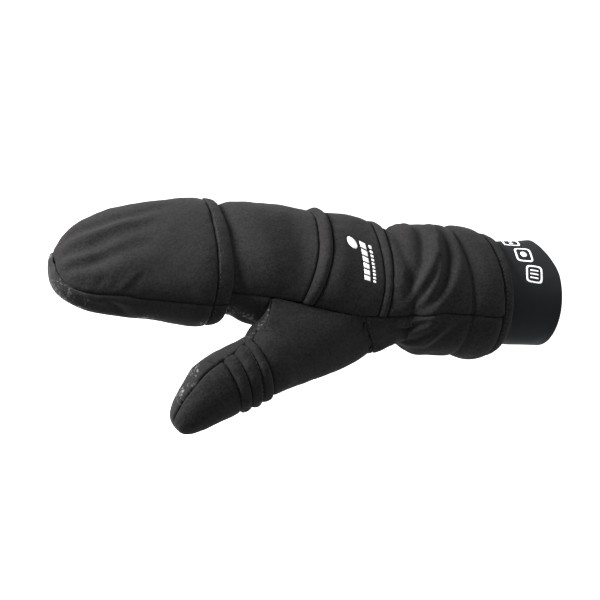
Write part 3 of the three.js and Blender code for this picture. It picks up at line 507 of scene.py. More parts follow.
def thumb_form(along, any_psi):
    """The thumb's skin: below 0 the run from the hole, above it millimetres along the thumb."""
    psi = THUMB_LOWEST + (any_psi - THUMB_LOWEST) % 360
    x, angle = hole_at(psi)
    skin = sleeve_form(x, angle)
    skin = skin + sleeve_normal(x, angle) * sleeve_lift(x, angle)[..., None]
    end = thumb_ring(np.zeros_like(psi), psi)
    outwards = skin - inside_tube(skin)
    outwards[..., 0] = 0
    outwards = unit(outwards)
    run = end - skin
    flat = unit(run - outwards * np.sum(run * outwards, -1, keepdims=True))
    leave = unit(flat + outwards * leaves("lean", psi)[..., None]) * leaves("pull", psi)[..., None]
    arrive = THUMB_ALONG * leaves("arrive", psi)[..., None]
    loft = hermite(np.clip(1 + along, 0, 1)[..., None], skin, leave, end, arrive)
    return np.where((along >= 0)[..., None], thumb_ring(np.maximum(along, 0), psi), loft)


def inside_thumb(points):
    along = (points - THUMB_START) @ THUMB_ALONG
    ahead = THUMB_START + np.clip(along, 0, THUMB_TIP_MIDDLE)[..., None] * THUMB_ALONG
    share = np.clip(-along / THUMB_ROOT_RUN, 0, 1)[..., None]
    return np.where((along > 0)[..., None], ahead, THUMB_START + (THUMB_ROOT - THUMB_START) * share)


def relaxed(base, reach):
    """Smooths a grid along its rows, most in the middle ones, so that corners of its first row fade out."""
    smooth = base.copy()
    share = np.sin(np.pi * np.linspace(0, 1, len(base)) ** 0.55)[:, None, None]
    width = np.linalg.norm(np.diff(base, axis=1), axis=-1).mean()
    for _ in range(int((reach / width) ** 2)):
        pull = (smooth[:, :-2] + smooth[:, 2:]) / 2 - smooth[:, 1:-1]
        smooth[:, 1:-1] += pull * share * 0.9
    return smooth


def nearest_of(points, line_points):
    """How far each point is from a line through points."""
    best = np.full(points.shape[:-1], 1e3)
    for spot in line_points:
        best = np.minimum(best, np.linalg.norm(points - spot, axis=-1))
    return best


def grades(length, step):
    """Steps from 0 to 1 over a length, closer together near both ends."""
    edge = [e for e in EDGE_ROWS if e < length * 0.3]
    inner = np.linspace(edge[-1], length - edge[-1], max(int((length - 2 * edge[-1]) / step), 2) + 1)
    rows = np.concatenate([edge[:-1], inner, length - np.array(edge[:-1])[::-1]])
    return rows / length


def roll(distance, radius=SEAM_RADIUS, depth=SEAM_DEPTH):
    """How far a piece sinks near a seam, as a rounded edge."""
    t = np.clip(1 - distance / radius, 0, 1)
    return depth * (1 - np.sqrt(1 - (ROLL_STEEP * t) ** 2))


def edges_with(**other):
    """What each edge of a piece is: sewn, apart from those named as open, flush or joined (for a ring)."""
    return tuple(other.get(edge, "sewn") for edge in EDGES)


def slab_faces(here, there, rims, count):
    """Faces of a closed slab: its upper side, the lower one count points further on, and its rims."""
    top = np.stack([here[:-1], here[1:], there[1:], there[:-1]], -1).reshape(-1, 4)
    walls = [np.stack([one, other, other + count, one + count], -1) for one, other in rims]
    return np.concatenate([top, top[:, ::-1] + count, *walls])


class Panel:
    """A sewn piece: a fine closed wall on a form, between two lines across it and two seams along it.

    rows gives its grid where the lines and seams don't; bulge lifts it further; pole is an edge that is
    one point and the normal there; near is a further line that it sinks at; shut is where its seams part.
    """

    def __init__(self, form, lift, seed, across=(None, None), along=(None, None), rows=None,
                 inside=inside_tube, wall=SOFTSHELL, puff=0.5, edges=edges_with(), bulge=None, step=STEP,
                 rough=1.0, pole=None, near=None, relax=0.0, crowd=1.0, shut=None):
        self.start, self.end = across
        self.low, self.high = along
        self.ring = "joined" in edges
        rows = rows or self.place
        points = form(*rows(*grid_of(*(np.linspace(0, 1, count) for count in MEASURE_GRID))))
        self.us = grades(runs(points, 0)[-1].max(), step) ** crowd
        long_v = runs(points, 1)[:, -1].max()
        self.vs = np.linspace(0, 1, int(long_v / step) + 1) if self.ring else grades(long_v, step)
        u, v = grid_of(self.us, self.vs)
        self.a, self.b = rows(u, v)
        base = form(self.a, self.b)
        if relax:
            base = relaxed(base, relax)
        normal = self.outward(base, inside)
        if pole is not None:
            normal[0 if pole[0] == "start" else -1] = unit(np.array(pole[1], float))
        self.to = self.distances(base)
        if near is not None:
            self.to["low"] = np.minimum(self.to["low"], nearest_of(base, near))
        if shut is not None:
            for edge in ("low", "high"):
                self.to[edge] = self.to[edge] + SHUT * (1 - smoothstep(self.a, shut - 0.2, shut + 0.2))
        coarse = lift(self.a, self.b)
        fine = self.seams(base, edges, puff, seed, rough)
        if bulge is not None:
            fine = fine + bulge(u, v, self)
        open_edge = self.open_roll(edges, wall)
        if pole is not None:
            share = smoothstep(self.to[pole[0]], 0, POLE_REACH)
            coarse, fine = coarse * share, fine * share
        self.outer = base + normal * (coarse + fine - open_edge)[..., None]
        self.inner = base + normal * (coarse - wall + open_edge)[..., None]
        self.normal = self.outward(self.outer, inside)

    def place(self, u, v):
        """Lengths and angles of a grid between the two lines and the two seams, which cross at a slant."""
        a = np.zeros_like(u)
        for _ in range(10):
            b = self.low(a) + (self.high(a) - self.low(a)) * v
            a = self.start(b) + (self.end(b) - self.start(b)) * u
        return a, b

    def outward(self, points, inside):
        around = np.gradient(points, axis=1)
        if self.ring:
            around[:, 0] = around[:, -1] = points[:, 1] - points[:, -2]
        normal = np.cross(np.gradient(points, axis=0), around)
        thin = np.linalg.norm(normal, axis=-1) < 1e-7
        normal = unit(normal)
        facing = np.sum(normal * (points - inside(points)), -1)
        normal[facing < 0] *= -1
        if thin[0].all():
            normal[0] = unit(normal[1].mean(0))
        if thin[-1].all():
            normal[-1] = unit(normal[-2].mean(0))
        return normal

    def distances(self, base):
        """How far each point is from each edge, along the cloth."""
        down, right = runs(base, 0), runs(base, 1)
        return {"start": down, "end": down[-1:] - down, "low": right, "high": right[:, -1:] - right}

    def seams(self, base, edges, puff, seed, rough):
        """The rolled edges, the padding's swell, puckers beside seams and the cloth's own unevenness."""
        lift = rough * sum(height * field(base, size, seed + shift) for height, size, shift in UNEVEN)
        wave = field(base, PUCKER["wave"], seed + PUCKER["seed_shift"])
        nearest = np.full(base.shape[:2], 1e3)
        for edge, kind in zip(EDGES, edges):
            if kind != "sewn":
                continue
            distance = self.to[edge]
            nearest = np.minimum(nearest, distance)
            beside = np.exp(-distance / PUCKER["reach"]) * (1 - np.exp(-distance / PUCKER["start"]))
            lift += PUCKER["height"] * rough * wave * beside
            lift -= roll(distance)
        if (nearest < 1e3).any():
            lift += puff * (1 - np.exp(-nearest / PAD_REACH))
        return lift

    def open_roll(self, edges, wall):
        """Rounds an open edge from both faces."""
        total = np.zeros(self.a.shape)
        for edge, kind in zip(EDGES, edges):
            if kind == "open":
                total = np.maximum(total, roll(self.to[edge], wall * 0.5, wall * 0.46))
        return total

    def mesh(self, name, look):
        """Makes the Blender object, which stands for the CAD node of the same name."""
        rows, columns = self.a.shape
        if self.ring:
            columns -= 1
        count = rows * columns
        grid = np.arange(count).reshape(rows, columns)
        after = np.roll(grid, -1, 1)
        here, there = (grid, after) if self.ring else (grid[:, :-1], after[:, :-1])
        rims = [(here[0], there[0]), (there[-1], here[-1])]
        if not self.ring:
            first, last = grid[:, 0], grid[:, -1]
            rims += [(first[1:], first[:-1]), (last[:-1], last[1:])]
        faces = slab_faces(here, there, rims, count)
        points = np.concatenate([side[:, :columns].reshape(-1, 3) for side in (self.outer, self.inner)])
        obj = make_object(name, points, faces, look, weld=True)
        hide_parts(name)

    def trace(self, values, target):
        """Points and normals where values first reach a target, column by column."""
        points, normals = [], []
        for j, column in enumerate(values.T):
            order = np.argsort(column)
            if not column[order[0]] <= target <= column[order[-1]]:
                continue
            place = np.interp(target, column[order], order.astype(float))
            i = min(int(place), len(column) - 2)
            points.append(self.outer[i, j] + (self.outer[i + 1, j] - self.outer[i, j]) * (place - i))
            normals.append(self.normal[i, j])
        return np.array(points), np.array(normals)

    def spot(self, a, b):
        """Points and normals of the finished skin at lengths a and angles b."""
        v = (b - self.low(a)) / (self.high(a) - self.low(a))
        u = (a - self.start(b)) / (self.end(b) - self.start(b))
        i = np.interp(u, self.us, np.arange(len(self.us)))
        j = np.interp(v, self.vs, np.arange(len(self.vs)))
        i0 = np.minimum(i.astype(int), len(self.us) - 2)
        j0 = np.minimum(j.astype(int), len(self.vs) - 2)
        fi, fj = (i - i0)[..., None], (j - j0)[..., None]
        found = []
        for grid in (self.outer, self.normal):
            top = grid[i0, j0] * (1 - fj) + grid[i0, j0 + 1] * fj
            bottom = grid[i0 + 1, j0] * (1 - fj) + grid[i0 + 1, j0 + 1] * fj
            found.append(top * (1 - fi) + bottom * fi)
        return found[0], unit(found[1])


def make_object(name, points, faces, look, weld=False):
    """A smooth-shaded mesh object of points in millimetres, riding on the part's body."""
    material, slot = look
    mesh = bpy.data.meshes.new(name)
    mesh.from_pydata((points * MM).tolist(), [], faces.tolist())
    mesh.validate()
    if weld:
        bm = bmesh.new()
        bm.from_mesh(mesh)
        bmesh.ops.remove_doubles(bm, verts=bm.verts, dist=1e-6)
        bmesh.ops.recalc_face_normals(bm, faces=bm.faces)
        bm.to_mesh(mesh)
        bm.free()
    mesh.polygons.foreach_set("use_smooth", np.ones(len(mesh.polygons), bool))
    mesh.materials.append(material)
    mesh.update()
    obj = bpy.data.objects.new(name, mesh)
    bpy.context.scene.collection.objects.link(obj)
    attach(obj, BODY)
    return obj


# Materials; their sizes are in millimetres and their colours are linear

def shader_of(name, colour, roughness, **sockets):
    """A new node material and its Principled shader, with what is the same all over set on the shader."""
    material = bpy.data.materials.new(name)
    material.use_nodes = True
    shader = material.node_tree.nodes["Principled BSDF"]
    shader.inputs["Base Color"].default_value = (*colour, 1)
    shader.inputs["Roughness"].default_value = roughness
    for socket, value in sockets.items():
        shader.inputs[socket.replace("_", " ")].default_value = value
    return material, material.node_tree, shader


def node(tree, kind, inputs=None, **settings):
    made = tree.nodes.new(kind)
    for name, value in settings.items():
        setattr(made, name, value)
    for name, value in (inputs or {}).items():
        if isinstance(value, bpy.types.NodeSocket):
            tree.links.new(value, made.inputs[name])
        else:
            made.inputs[name].default_value = value
    return made


def texture(tree, kind, size_mm, inputs=None, place=None, **settings):
    """A texture node of that kind, with features of about that size, fixed to the cloth."""
    vector = place if place is not None else node(tree, "ShaderNodeTexCoord").outputs["Object"]
    fixed = {"Vector": vector, "Scale": 1 / (size_mm * MM)}
    return node(tree, "ShaderNodeTex" + kind, {**fixed, **(inputs or {})}, **settings)


def noise(tree, size_mm, detail=2.0, rough=0.55):
    return texture(tree, "Noise", size_mm, {"Detail": detail, "Roughness": rough}).outputs["Fac"]


def spread(tree, value, low, high, to_low=0.0, to_high=1.0):
    """A value between low and high, moved to between two others and kept there."""
    inputs = {"Value": value, "From Min": low, "From Max": high, "To Min": to_low, "To Max": to_high}
    return node(tree, "ShaderNodeMapRange", inputs).outputs["Result"]


def mixed(tree, share, first, second):
    """A colour between two colours or sockets, by a share."""
    made = node(tree, "ShaderNodeMix", data_type="RGBA")
    for socket, value in ((made.inputs[0], share), (made.inputs[6], first), (made.inputs[7], second)):
        if isinstance(value, bpy.types.NodeSocket):
            tree.links.new(value, socket)
        else:
            socket.default_value = (*value, 1) if isinstance(value, tuple) else value
    return made.outputs[2]


def joined(tree, operation, first, second):
    made = node(tree, "ShaderNodeMath", operation=operation)
    for socket, value in zip(made.inputs, (first, second)):
        if isinstance(value, bpy.types.NodeSocket):
            tree.links.new(value, socket)
        else:
            socket.default_value = value
    return made.outputs[0]


def bumped(tree, shader, height, depth_mm, strength=1.0, under=None):
    """Sets bumps of that depth on the shader, over those of another normal if there is one."""
    inputs = {"Height": height, "Distance": depth_mm * MM, "Strength": strength}
    if under is not None:
        inputs["Normal"] = under
    made = node(tree, "ShaderNodeBump", inputs)
    tree.links.new(made.outputs["Normal"], shader.inputs["Normal"])
    return made.outputs["Normal"]


def painted(tree, shader, colour, roughness):
    tree.links.new(colour, shader.inputs["Base Color"])
    tree.links.new(roughness, shader.inputs["Roughness"])


def softshell_material():
    """Brushed black softshell: a matte, slightly fuzzy face with a fine knit grain."""
    material, tree, shader = shader_of(
        "softshell", (0.02, 0.02, 0.02), 0.92,
        Specular_IOR_Level=0.04, Sheen_Weight=0.03, Sheen_Roughness=0.5, Sheen_Tint=(0.6, 0.58, 0.58, 1),
    )
    pits, face, tuft, rubbed = (
        (0.002, 0.0019, 0.002), (0.009, 0.0085, 0.0085), (0.0124, 0.0117, 0.0117), (0.0095, 0.009, 0.009),
    )
    fuzz = noise(tree, 0.8, 4.0, 0.7)
    grains = spread(tree, noise(tree, 1.5, 2.0, 0.6), 0.36, 0.64)
    worn = spread(tree, noise(tree, 14), 0.3, 0.7)
    grain = mixed(tree, spread(tree, fuzz, 0.36, 0.66), pits, face)
    tufts = mixed(tree, joined(tree, "MULTIPLY", grains, 0.55), grain, tuft)
    colour = mixed(tree, joined(tree, "MULTIPLY", worn, 0.25), tufts, rubbed)
    painted(tree, shader, colour, spread(tree, fuzz, 0.3, 0.7, 0.84, 0.98))
    knit = texture(tree, "Voronoi", 0.62)
    under = bumped(tree, shader, knit.outputs["Distance"], 0.07, 0.6)
    under = bumped(tree, shader, grains, 0.12, 0.7, under)
    bumped(tree, shader, fuzz, 0.18, 0.7, under)
    return material


def grip_material(name, shard, speck, rare, bright, palm_only):
    """Black knit printed with raised shards and specks, of those sizes, rarity and brightness.

    Where palm_only is set, the print keeps to the under side and the fingertips.
    """
    material, tree, shader = shader_of(
        name, (0.02, 0.02, 0.02), 0.8,
        Specular_IOR_Level=0.06, Sheen_Weight=0.03, Sheen_Roughness=0.5,
    )
    pits, face, film_edge = (0.0035, 0.0036, 0.0039), (0.0105, 0.0103, 0.0106), (0.014, 0.014, 0.015)
    place = node(tree, "ShaderNodeTexCoord").outputs["Object"]
    wander = texture(tree, "Noise", 2.4, {"Detail": 2.0}, place)
    shifted = node(tree, "ShaderNodeVectorMath", {0: wander.outputs["Color"]}, operation="SCALE")
    shifted.inputs["Scale"].default_value = 1.6 * MM
    moved = node(tree, "ShaderNodeVectorMath", {0: place, 1: shifted.outputs[0]}, operation="ADD").outputs[0]
    shares, tones = [], []
    for size, least in ((shard, rare), (speck, rare - 0.04)):
        cells = texture(tree, "Voronoi", size, None, moved, distance="MANHATTAN")
        chances = node(tree, "ShaderNodeSeparateColor", {"Color": cells.outputs["Color"]})
        shares.append(spread(tree, chances.outputs[0], least, least + 0.01))
        tones.append(chances.outputs[1])
    bands = spread(tree, noise(tree, 12, 1.5), 0.49, 0.55)
    shards, specks = (joined(tree, "MULTIPLY", share, bands) for share in shares)
    print_share = joined(tree, "MAXIMUM", shards, specks)
    if palm_only:
        axes = node(tree, "ShaderNodeSeparateXYZ", {"Vector": place})
        under = spread(tree, axes.outputs["Z"], -1.5 * MM, -5 * MM)
        tips = spread(tree, axes.outputs["X"], -264 * MM, -272 * MM)
        print_share = joined(tree, "MULTIPLY", print_share, joined(tree, "MAXIMUM", under, tips))
    knit = noise(tree, 0.7, 3.0, 0.7)
    cloth = mixed(tree, spread(tree, knit, 0.35, 0.65), pits, face)
    share = joined(tree, "POWER", joined(tree, "MAXIMUM", tones[0], tones[1]), 3.5)
    tone = mixed(tree, share, film_edge, (bright, 0.97 * bright, 0.92 * bright))
    roughness = spread(tree, print_share, 0, 1, 0.85, 0.42)
    painted(tree, shader, mixed(tree, print_share, cloth, tone), roughness)
    under = bumped(tree, shader, knit, 0.14, 0.7)
    bumped(tree, shader, print_share, 0.16, 0.8, under)
    return material


def neoprene_material():
    """Smooth laminated neoprene with a soft sheen."""
    material, tree, shader = shader_of(
        "neoprene", (0.014, 0.0155, 0.0175), 0.55,
        Specular_IOR_Level=0.04, Sheen_Weight=0.006, Sheen_Roughness=0.4, Sheen_Tint=(0.7, 0.76, 0.85, 1),
    )
    dark, plain, rubbed = (0.0055, 0.0061, 0.0069), (0.0078, 0.0085, 0.0094), (0.0086, 0.0093, 0.0103)
    fine = noise(tree, 0.5, 3.0, 0.6)
    broad = noise(tree, 18)
    tone = mixed(tree, spread(tree, fine, 0.3, 0.7), dark, plain)
    colour = mixed(tree, joined(tree, "MULTIPLY", broad, 0.4), tone, rubbed)
    painted(tree, shader, colour, spread(tree, broad, 0.3, 0.7, 0.62, 0.76))
    bumped(tree, shader, fine, 0.035, 0.5)
    return material


def thread_material():
    """Twisted black sewing thread."""
    material, tree, shader = shader_of(
        "thread", (0.03, 0.03, 0.03), 0.75,
        Specular_IOR_Level=0.05, Sheen_Weight=0.01,
    )
    twist = texture(tree, "Wave", 2.826, {"Distortion": 1.0}, bands_direction="DIAGONAL").outputs["Fac"]
    colour = mixed(tree, twist, (0.009, 0.009, 0.009), (0.023, 0.0225, 0.0225))
    tree.links.new(colour, shader.inputs["Base Color"])
    bumped(tree, shader, twist, 0.05, 0.6)
    return material


def print_material():
    """Pale heat-set print film, a little worn."""
    material, tree, shader = shader_of("print", (0.6, 0.6, 0.6), 0.5, Specular_IOR_Level=0.4)
    worn = noise(tree, 1.1, 4.0, 0.7)
    colour = mixed(tree, spread(tree, worn, 0.3, 0.6), (0.42, 0.42, 0.43), (0.68, 0.68, 0.69))
    painted(tree, shader, colour, spread(tree, worn, 0.3, 0.7, 0.62, 0.42))
    bumped(tree, shader, worn, 0.03, 0.5)
    return material


def floor_material():
    """Plain pale studio floor."""
    material, tree, shader = shader_of("studio_floor", (0.9, 0.9, 0.9), 0.9, Specular_IOR_Level=0.1)
    colour = mixed(tree, noise(tree, 400), (0.9, 0.9, 0.9), (0.93, 0.93, 0.93))
    tree.links.new(colour, shader.inputs["Base Color"])
    return material


# Each look is a material and the slot that it stands for
softshell = (softshell_material(), "softshell")
grip = (grip_material("grip_fabric", 2.0, 0.8, 0.87, 0.05, palm_only=True), "grip_fabric")
hand_grip = (grip_material("grip_fabric_hand", 2.2, 0.9, 0.85, 0.06, palm_only=False), "grip_fabric")
thumb_grip = (grip_material("grip_fabric_thumb", 2.8, 1.1, 0.84, 0.07, palm_only=False), "grip_fabric")
neoprene = (neoprene_material(), "neoprene")
thread = (thread_material(), "thread")
film = (print_material(), "print")


# Pieces

def seams_between(near, far):
    """The two seams that the back of a tube lies between, and the two of its palm."""
    back = (lambda x: far(x) + SEAM_TURN, lambda x: near(x) - SEAM_TURN)
    palm = (lambda x: near(x) + SEAM_TURN, lambda x: far(x) + 360 - SEAM_TURN)
    return back, palm


def between(first, last, start_gap=SEAM_GAP):
    first_line, last_line = line(first), line(last)
    return lambda b: first_line(b) + start_gap, lambda b: last_line(b) - SEAM_GAP


def always(value):
    return lambda other: value + 0 * other


def swell(height, power=1.0):
    """A bulge that is highest midway between a piece's two lines."""
    return lambda u, v, panel: height * np.sin(np.pi * u) ** power


hood_backs, hood_palms = seams_between(hood_seam, hood_far_seam)
sleeve_backs, sleeve_palms = seams_between(sleeve_seam, lambda x: 180 - sleeve_seam(x))
# What the pieces of each tube share, and the pieces by their names
hood = {"form": hood_form, "lift": hood_lift}
sleeve = {"form": sleeve_form, "lift": sleeve_lift}
whole_ring = (always(0), always(360))
pieces = {}


def sew(name, look, **how):
    """Makes a piece and its object, and keeps the piece by its name."""
    pieces[name] = Panel(**how)
    pieces[name].mesh(name, look)


def make_hood():
    """The hood over the fingers and the hem round its mouth."""
    def fall(u, v, panel):
        return -HEM_FALL * u**2

    hem = {**hood, "across": between(HOOD_STITCH, HOOD_EDGE), "wall": HEM_WALL, "puff": 1.0, "bulge": fall,
           "edges": edges_with(end="open"), "step": NARROW_STEP}
    sew("hood_back", softshell, across=between(HOOD_BACK_TIP, HOOD_STITCH), along=hood_backs,
        puff=0.7, crowd=1.5, seed=3, **hood)
    sew("hood_palm", grip, across=between(HOOD_TIP, HOOD_STITCH, start_gap=0), along=hood_palms,
        puff=0.6, crowd=1.5, seed=4, edges=edges_with(start="flush"), pole=("start", (-0.85, 0, 0.5)),
        shut=HOOD_BACK_TIP[0], **hood)
    sew("hood_hem_back", softshell, along=hood_backs, seed=5, **hem)
    sew("hood_hem_palm", softshell, along=hood_palms, seed=6, **hem)


def make_hand_back():
    """The back of the hand: shell, knuckle roll, panel and wrist rib."""
    rows = [
        ("hand_back", SHELL_END, ROLL_START, {"edges": edges_with(start="open"), "seed": 11}),
        ("knuckle_roll", ROLL_START, ROLL_END,
         {"puff": 0.0, "bulge": swell(2.3, 0.8), "step": NARROW_STEP, "seed": 12}),
        ("back_panel", ROLL_END, WRIST_STITCH, {"puff": 0.6, "seed": 13}),
        ("wrist_rib", WRIST_STITCH, WRIST_EDGE,
         {"puff": 0.6, "bulge": swell(0.8), "step": NARROW_STEP, "seed": 14}),
    ]
    for name, first, last, how in rows:
        sew(name, softshell, across=between(first, last), along=sleeve_backs, **sleeve, **how)


def make_hand_palm():
    """The palm of the hand, open round the thumb."""
    x, angle = hole_at(np.linspace(HOLE_TOP["front"], THUMB_LOWEST, OUTLINE_POINTS))
    outline = sleeve_form(x, angle)
    run = runs(outline)
    front = HOLE["front"] - PALM_FRONT_X
    share = front / (front + run[-1])
    slit = math.degrees(PALM_SLIT / FOLD_RADIUS)

    def rows(u, v):
        """Rows that start at the side seam in front of the hole and at its outline beside it."""
        along = np.clip((u - share) / (1 - share), 0, 1) * run[-1]
        round_x = np.interp(along, run, x)
        round_angle = np.interp(along, run, angle)
        ahead_x = PALM_FRONT_X + np.clip(u / share, 0, 1) * front
        at_front = u <= share
        a = np.where(at_front, ahead_x, round_x) - SEAM_GAP
        start = np.where(at_front, sleeve_seam(ahead_x), round_angle) + slit
        far_seam = sleeve_palms[1](a)
        return a, start + (far_seam - start) * v

    def web(u, v, panel):
        """The raised band beside the front edge of the thumb hole."""
        beside = np.exp(-(((panel.to["low"] - WEB["off"]) / WEB["width"]) ** 2))
        return beside * smoothstep(panel.a, *WEB["rise"]) * (1 - smoothstep(panel.a, *WEB["fall"]))

    sew("hand_palm", hand_grip, rows=rows, near=outline, bulge=web, edges=edges_with(start="open"), seed=21,
        **sleeve)


def make_wrist():
    """The palm side of the wrist, which runs on into the gauntlet at the wrist's valley."""
    def level(u, v, panel):
        """Keeps the wrist from sinking at the thumb's back line."""
        return LEVEL["wrist"] * roll(panel.to["start"])

    lines = (lambda b: thumb_back(b) + SEAM_GAP, line(WRIST_VALLEY))
    sew("wrist_palm", softshell, across=lines, along=sleeve_palms, edges=edges_with(end="flush"), bulge=level,
        **WRIST_CLOTH, **sleeve)


def rib_line(number, gap=0.0):
    """Where a sewn line of the thumb's ribs crosses an angle."""
    upper, lean = RIB_LINES[number]
    return lambda psi: upper + lean * smoothstep(psi, *RIB_TURN) + gap


def cap_edge(psi):
    """Where the palm side of the thumb's cap starts, along a bowed edge."""
    return CAP_EDGE["least"] + CAP_EDGE["bow"] * np.sin(np.pi * (CAP_EDGE["last"] - psi) / CAP_EDGE["spread"])


def root_rows(seams, share, last):
    """Rows from the thumb's hole to a last line, of which a share lie before the thumb's first ring."""
    low, high = seams

    def rows(u, v):
        a = np.zeros_like(u)
        for _ in range(10):
            b = low(a) + (high(a) - low(a)) * v
            a = np.where(u < share, u / share - 1, (u - share) / (1 - share) * last(b))
        return a, b

    return rows


def make_thumb():
    """The gusset, three ribs, the cap's two sides and the palm side of the thumb."""
    backs = (lambda s: thumb_seam(s) + THUMB_SLIT, always(THUMB_LOWER_SEAM - THUMB_SLIT))
    palms = (always(THUMB_LOWEST + THUMB_SLIT), lambda s: thumb_seam(s) - THUMB_SLIT)
    thumb = {"form": thumb_form, "lift": thumb_lift, "inside": inside_thumb, "step": THUMB_STEP}
    cap = {**thumb, "pole": ("end", tuple(THUMB_ALONG))}

    def level(u, v, panel):
        """Keeps the skin from sinking at the thumb's back line, where it leaves the wrist steeply."""
        return LEVEL["thumb"] * roll(panel.to["start"]) * smoothstep(panel.b, *LEVEL["thumb_turn"])

    def rib(shallow):
        """A rib's swell, with shallower lines at the edges named."""
        def bulge(u, v, panel):
            shallower = sum(RIB_SWELL["shallow"] * roll(panel.to[edge]) for edge in shallow)
            return RIB_SWELL["height"] * np.sin(np.pi * u) ** RIB_SWELL["power"] + shallower
        return bulge

    def proud(u, v, panel):
        """Lifts the cap's open edge off the thumb."""
        return np.maximum(1 - 3 * u, 0) * np.sin(np.pi * v)

    sew("thumb_gusset", softshell, rows=root_rows(backs, GUSSET_SHARE, rib_line(0, -SEAM_GAP)), relax=7.0,
        bulge=level, seed=31, **thumb)
    for number, first, shallow in ((3, 0, ("end",)), (2, 1, ("start", "end")), (1, 2, ("start",))):
        lines = (rib_line(first, SEAM_GAP), rib_line(first + 1, -SEAM_GAP))
        sew(f"thumb_rib_{number}", softshell, across=lines, along=backs, puff=0.0, bulge=rib(shallow),
            seed=31 + number, **{**thumb, "step": RIB_STEP})
    sew("thumb_cap_back", softshell, across=(rib_line(3, SEAM_GAP), always(THUMB_TIP)), along=backs,
        puff=0.9, edges=edges_with(end="flush"), seed=36, **cap)
    sew("thumb_cap_palm", thumb_grip, across=(lambda psi: cap_edge(psi) + 2 * SEAM_GAP, always(THUMB_TIP)),
        along=palms, bulge=proud, edges=edges_with(start="open", end="flush"), seed=37, **cap)
    sew("thumb_palm", thumb_grip, rows=root_rows(palms, THUMB_PALM_SHARE, cap_edge), seed=38, **thumb)


def rim_at(angle):
    """The cuff's rim, which is cut back on the little-finger side."""
    facing = np.cos(np.radians(angle - RIM_DIP["towards"]))
    return -RIM_DIP["depth"] * smoothstep(facing, RIM_DIP["from"], RIM_DIP["to"])


def make_gauntlet():
    """The padded gauntlet, its hem, and the cuff inside it."""
    joined_sides = {"low": "joined", "high": "joined"}
    sew("gauntlet_back", softshell, across=between(WRIST_EDGE, GAUNTLET_STITCH), along=sleeve_backs,
        puff=1.0, step=GAUNTLET_STEP, seed=41, **sleeve)
    sew("gauntlet_palm", softshell, across=between(WRIST_VALLEY, GAUNTLET_STITCH, start_gap=0),
        along=sleeve_palms, edges=edges_with(start="flush"), step=GAUNTLET_STEP, **WRIST_CLOTH, **sleeve)
    sew("gauntlet_hem", softshell, across=between(GAUNTLET_STITCH, GAUNTLET_EDGE), along=whole_ring,
        edges=edges_with(end="open", **joined_sides), wall=HEM_WALL, bulge=swell(0.9, 0.8), puff=0.2,
        step=NARROW_STEP, seed=43, **sleeve)
    sew("inner_cuff", neoprene, form=cuff_form, lift=lambda a, b: 0 * a, across=(always(CUFF_END_X), rim_at),
        along=whole_ring, edges=edges_with(start="open", end="open", **joined_sides), wall=NEOPRENE,
        puff=0.0, rough=0.7, seed=44)


make_hood()
make_hand_back()
make_hand_palm()
make_wrist()
make_thumb()
make_gauntlet()


# Stitches and prints

def stitch_shape(sides=6):
    """One stitch along X: a capsule of unit half length and radius, as points and faces."""
    rings = ((-1.0, 0.25), (-0.8, 0.85), (0.0, 1.0), (0.8, 0.85), (1.0, 0.25))
    turns = np.linspace(0, 2 * np.pi, sides, endpoint=False)
    points = [(x, r * np.cos(t), r * np.sin(t)) for x, r in rings for t in turns]
    last = len(points) - sides
    faces = []
    for ring in range(0, last, sides):
        for k in range(sides):
            here, after = ring + k, ring + (k + 1) % sides
            faces.append((here, after, after + sides, here + sides))
    faces += [(3, 2, 1, 0), (5, 4, 3, 0)]
    faces += [(last, last + 1, last + 2, last + 3), (last, last + 3, last + 4, last + 5)]
    return np.array(points), np.array(faces)


def on_line(values, run, length):
    """The value at a length along a line whose points lie at the lengths in run."""
    return np.array([np.interp(length, run, column) for column in values.T])


def stitched(name, traces):
    """Rows of stitches lying on the cloth along traced lines, joined into one mesh."""
    shape, shape_faces = stitch_shape()
    points, faces = [], []
    draw = np.random.default_rng(len(name))
    radius = STITCH["radius"]
    for line_points, line_normals in traces:
        run = runs(line_points)
        count = int(run[-1] / STITCH["pitch"])
        for k in range(count):
            middle = (k + 0.5) * run[-1] / count
            half = STITCH["length"] / 2 * draw.uniform(0.92, 1.06)
            start = on_line(line_points, run, middle - half)
            end = on_line(line_points, run, middle + half)
            along = unit(end - start)
            side = unit(np.cross(unit(on_line(line_normals, run, middle)), along))
            up = np.cross(along, side)
            centre = (start + end) / 2 + up * (radius * 0.6 - STITCH["sink"])
            local = shape * (np.linalg.norm(end - start) / 2, radius, radius)
            faces.append(shape_faces + len(points) * len(shape))
            points.append(centre + local @ np.array([along, side, up]))
    make_object(name, np.concatenate(points), np.concatenate(faces), thread)


def stitch_all():
    """The rows of stitches that the photograph shows."""
    def beside_start(name, distance):
        return pieces[name].trace(pieces[name].to["start"], distance)

    stitched("stitches_hood", [beside_start(name, 1.0) for name in ("hood_hem_back", "hood_hem_palm")])
    stitched("stitches_wrist", [beside_start("wrist_rib", 0.9), beside_start("wrist_palm", 1.5)])
    stitched("stitches_thumb", [beside_start(name, 0.6) for name in ("thumb_rib_2", "thumb_rib_1")])
    quilted = (pieces["gauntlet_back"], pieces["gauntlet_palm"])
    quilt_lines = [piece.trace(piece.a, QUILT["x"]) for piece in quilted]
    stitched("stitches_gauntlet", [*quilt_lines, beside_start("gauntlet_hem", 1.0)])


def film_patch(panel, centre, turn, grid, lift):
    """A flat grid of points about a centre, turned, laid on a piece's skin and lifted by so much."""
    x0, angle0 = centre
    cos, sin = math.cos(math.radians(turn)), math.sin(math.radians(turn))
    a = x0 + grid[..., 0] * cos - grid[..., 1] * sin
    b = angle0 + (grid[..., 0] * sin + grid[..., 1] * cos) / (math.radians(1) * FOLD_RADIUS)
    points, normals = panel.spot(a, b)
    return points + normals * lift


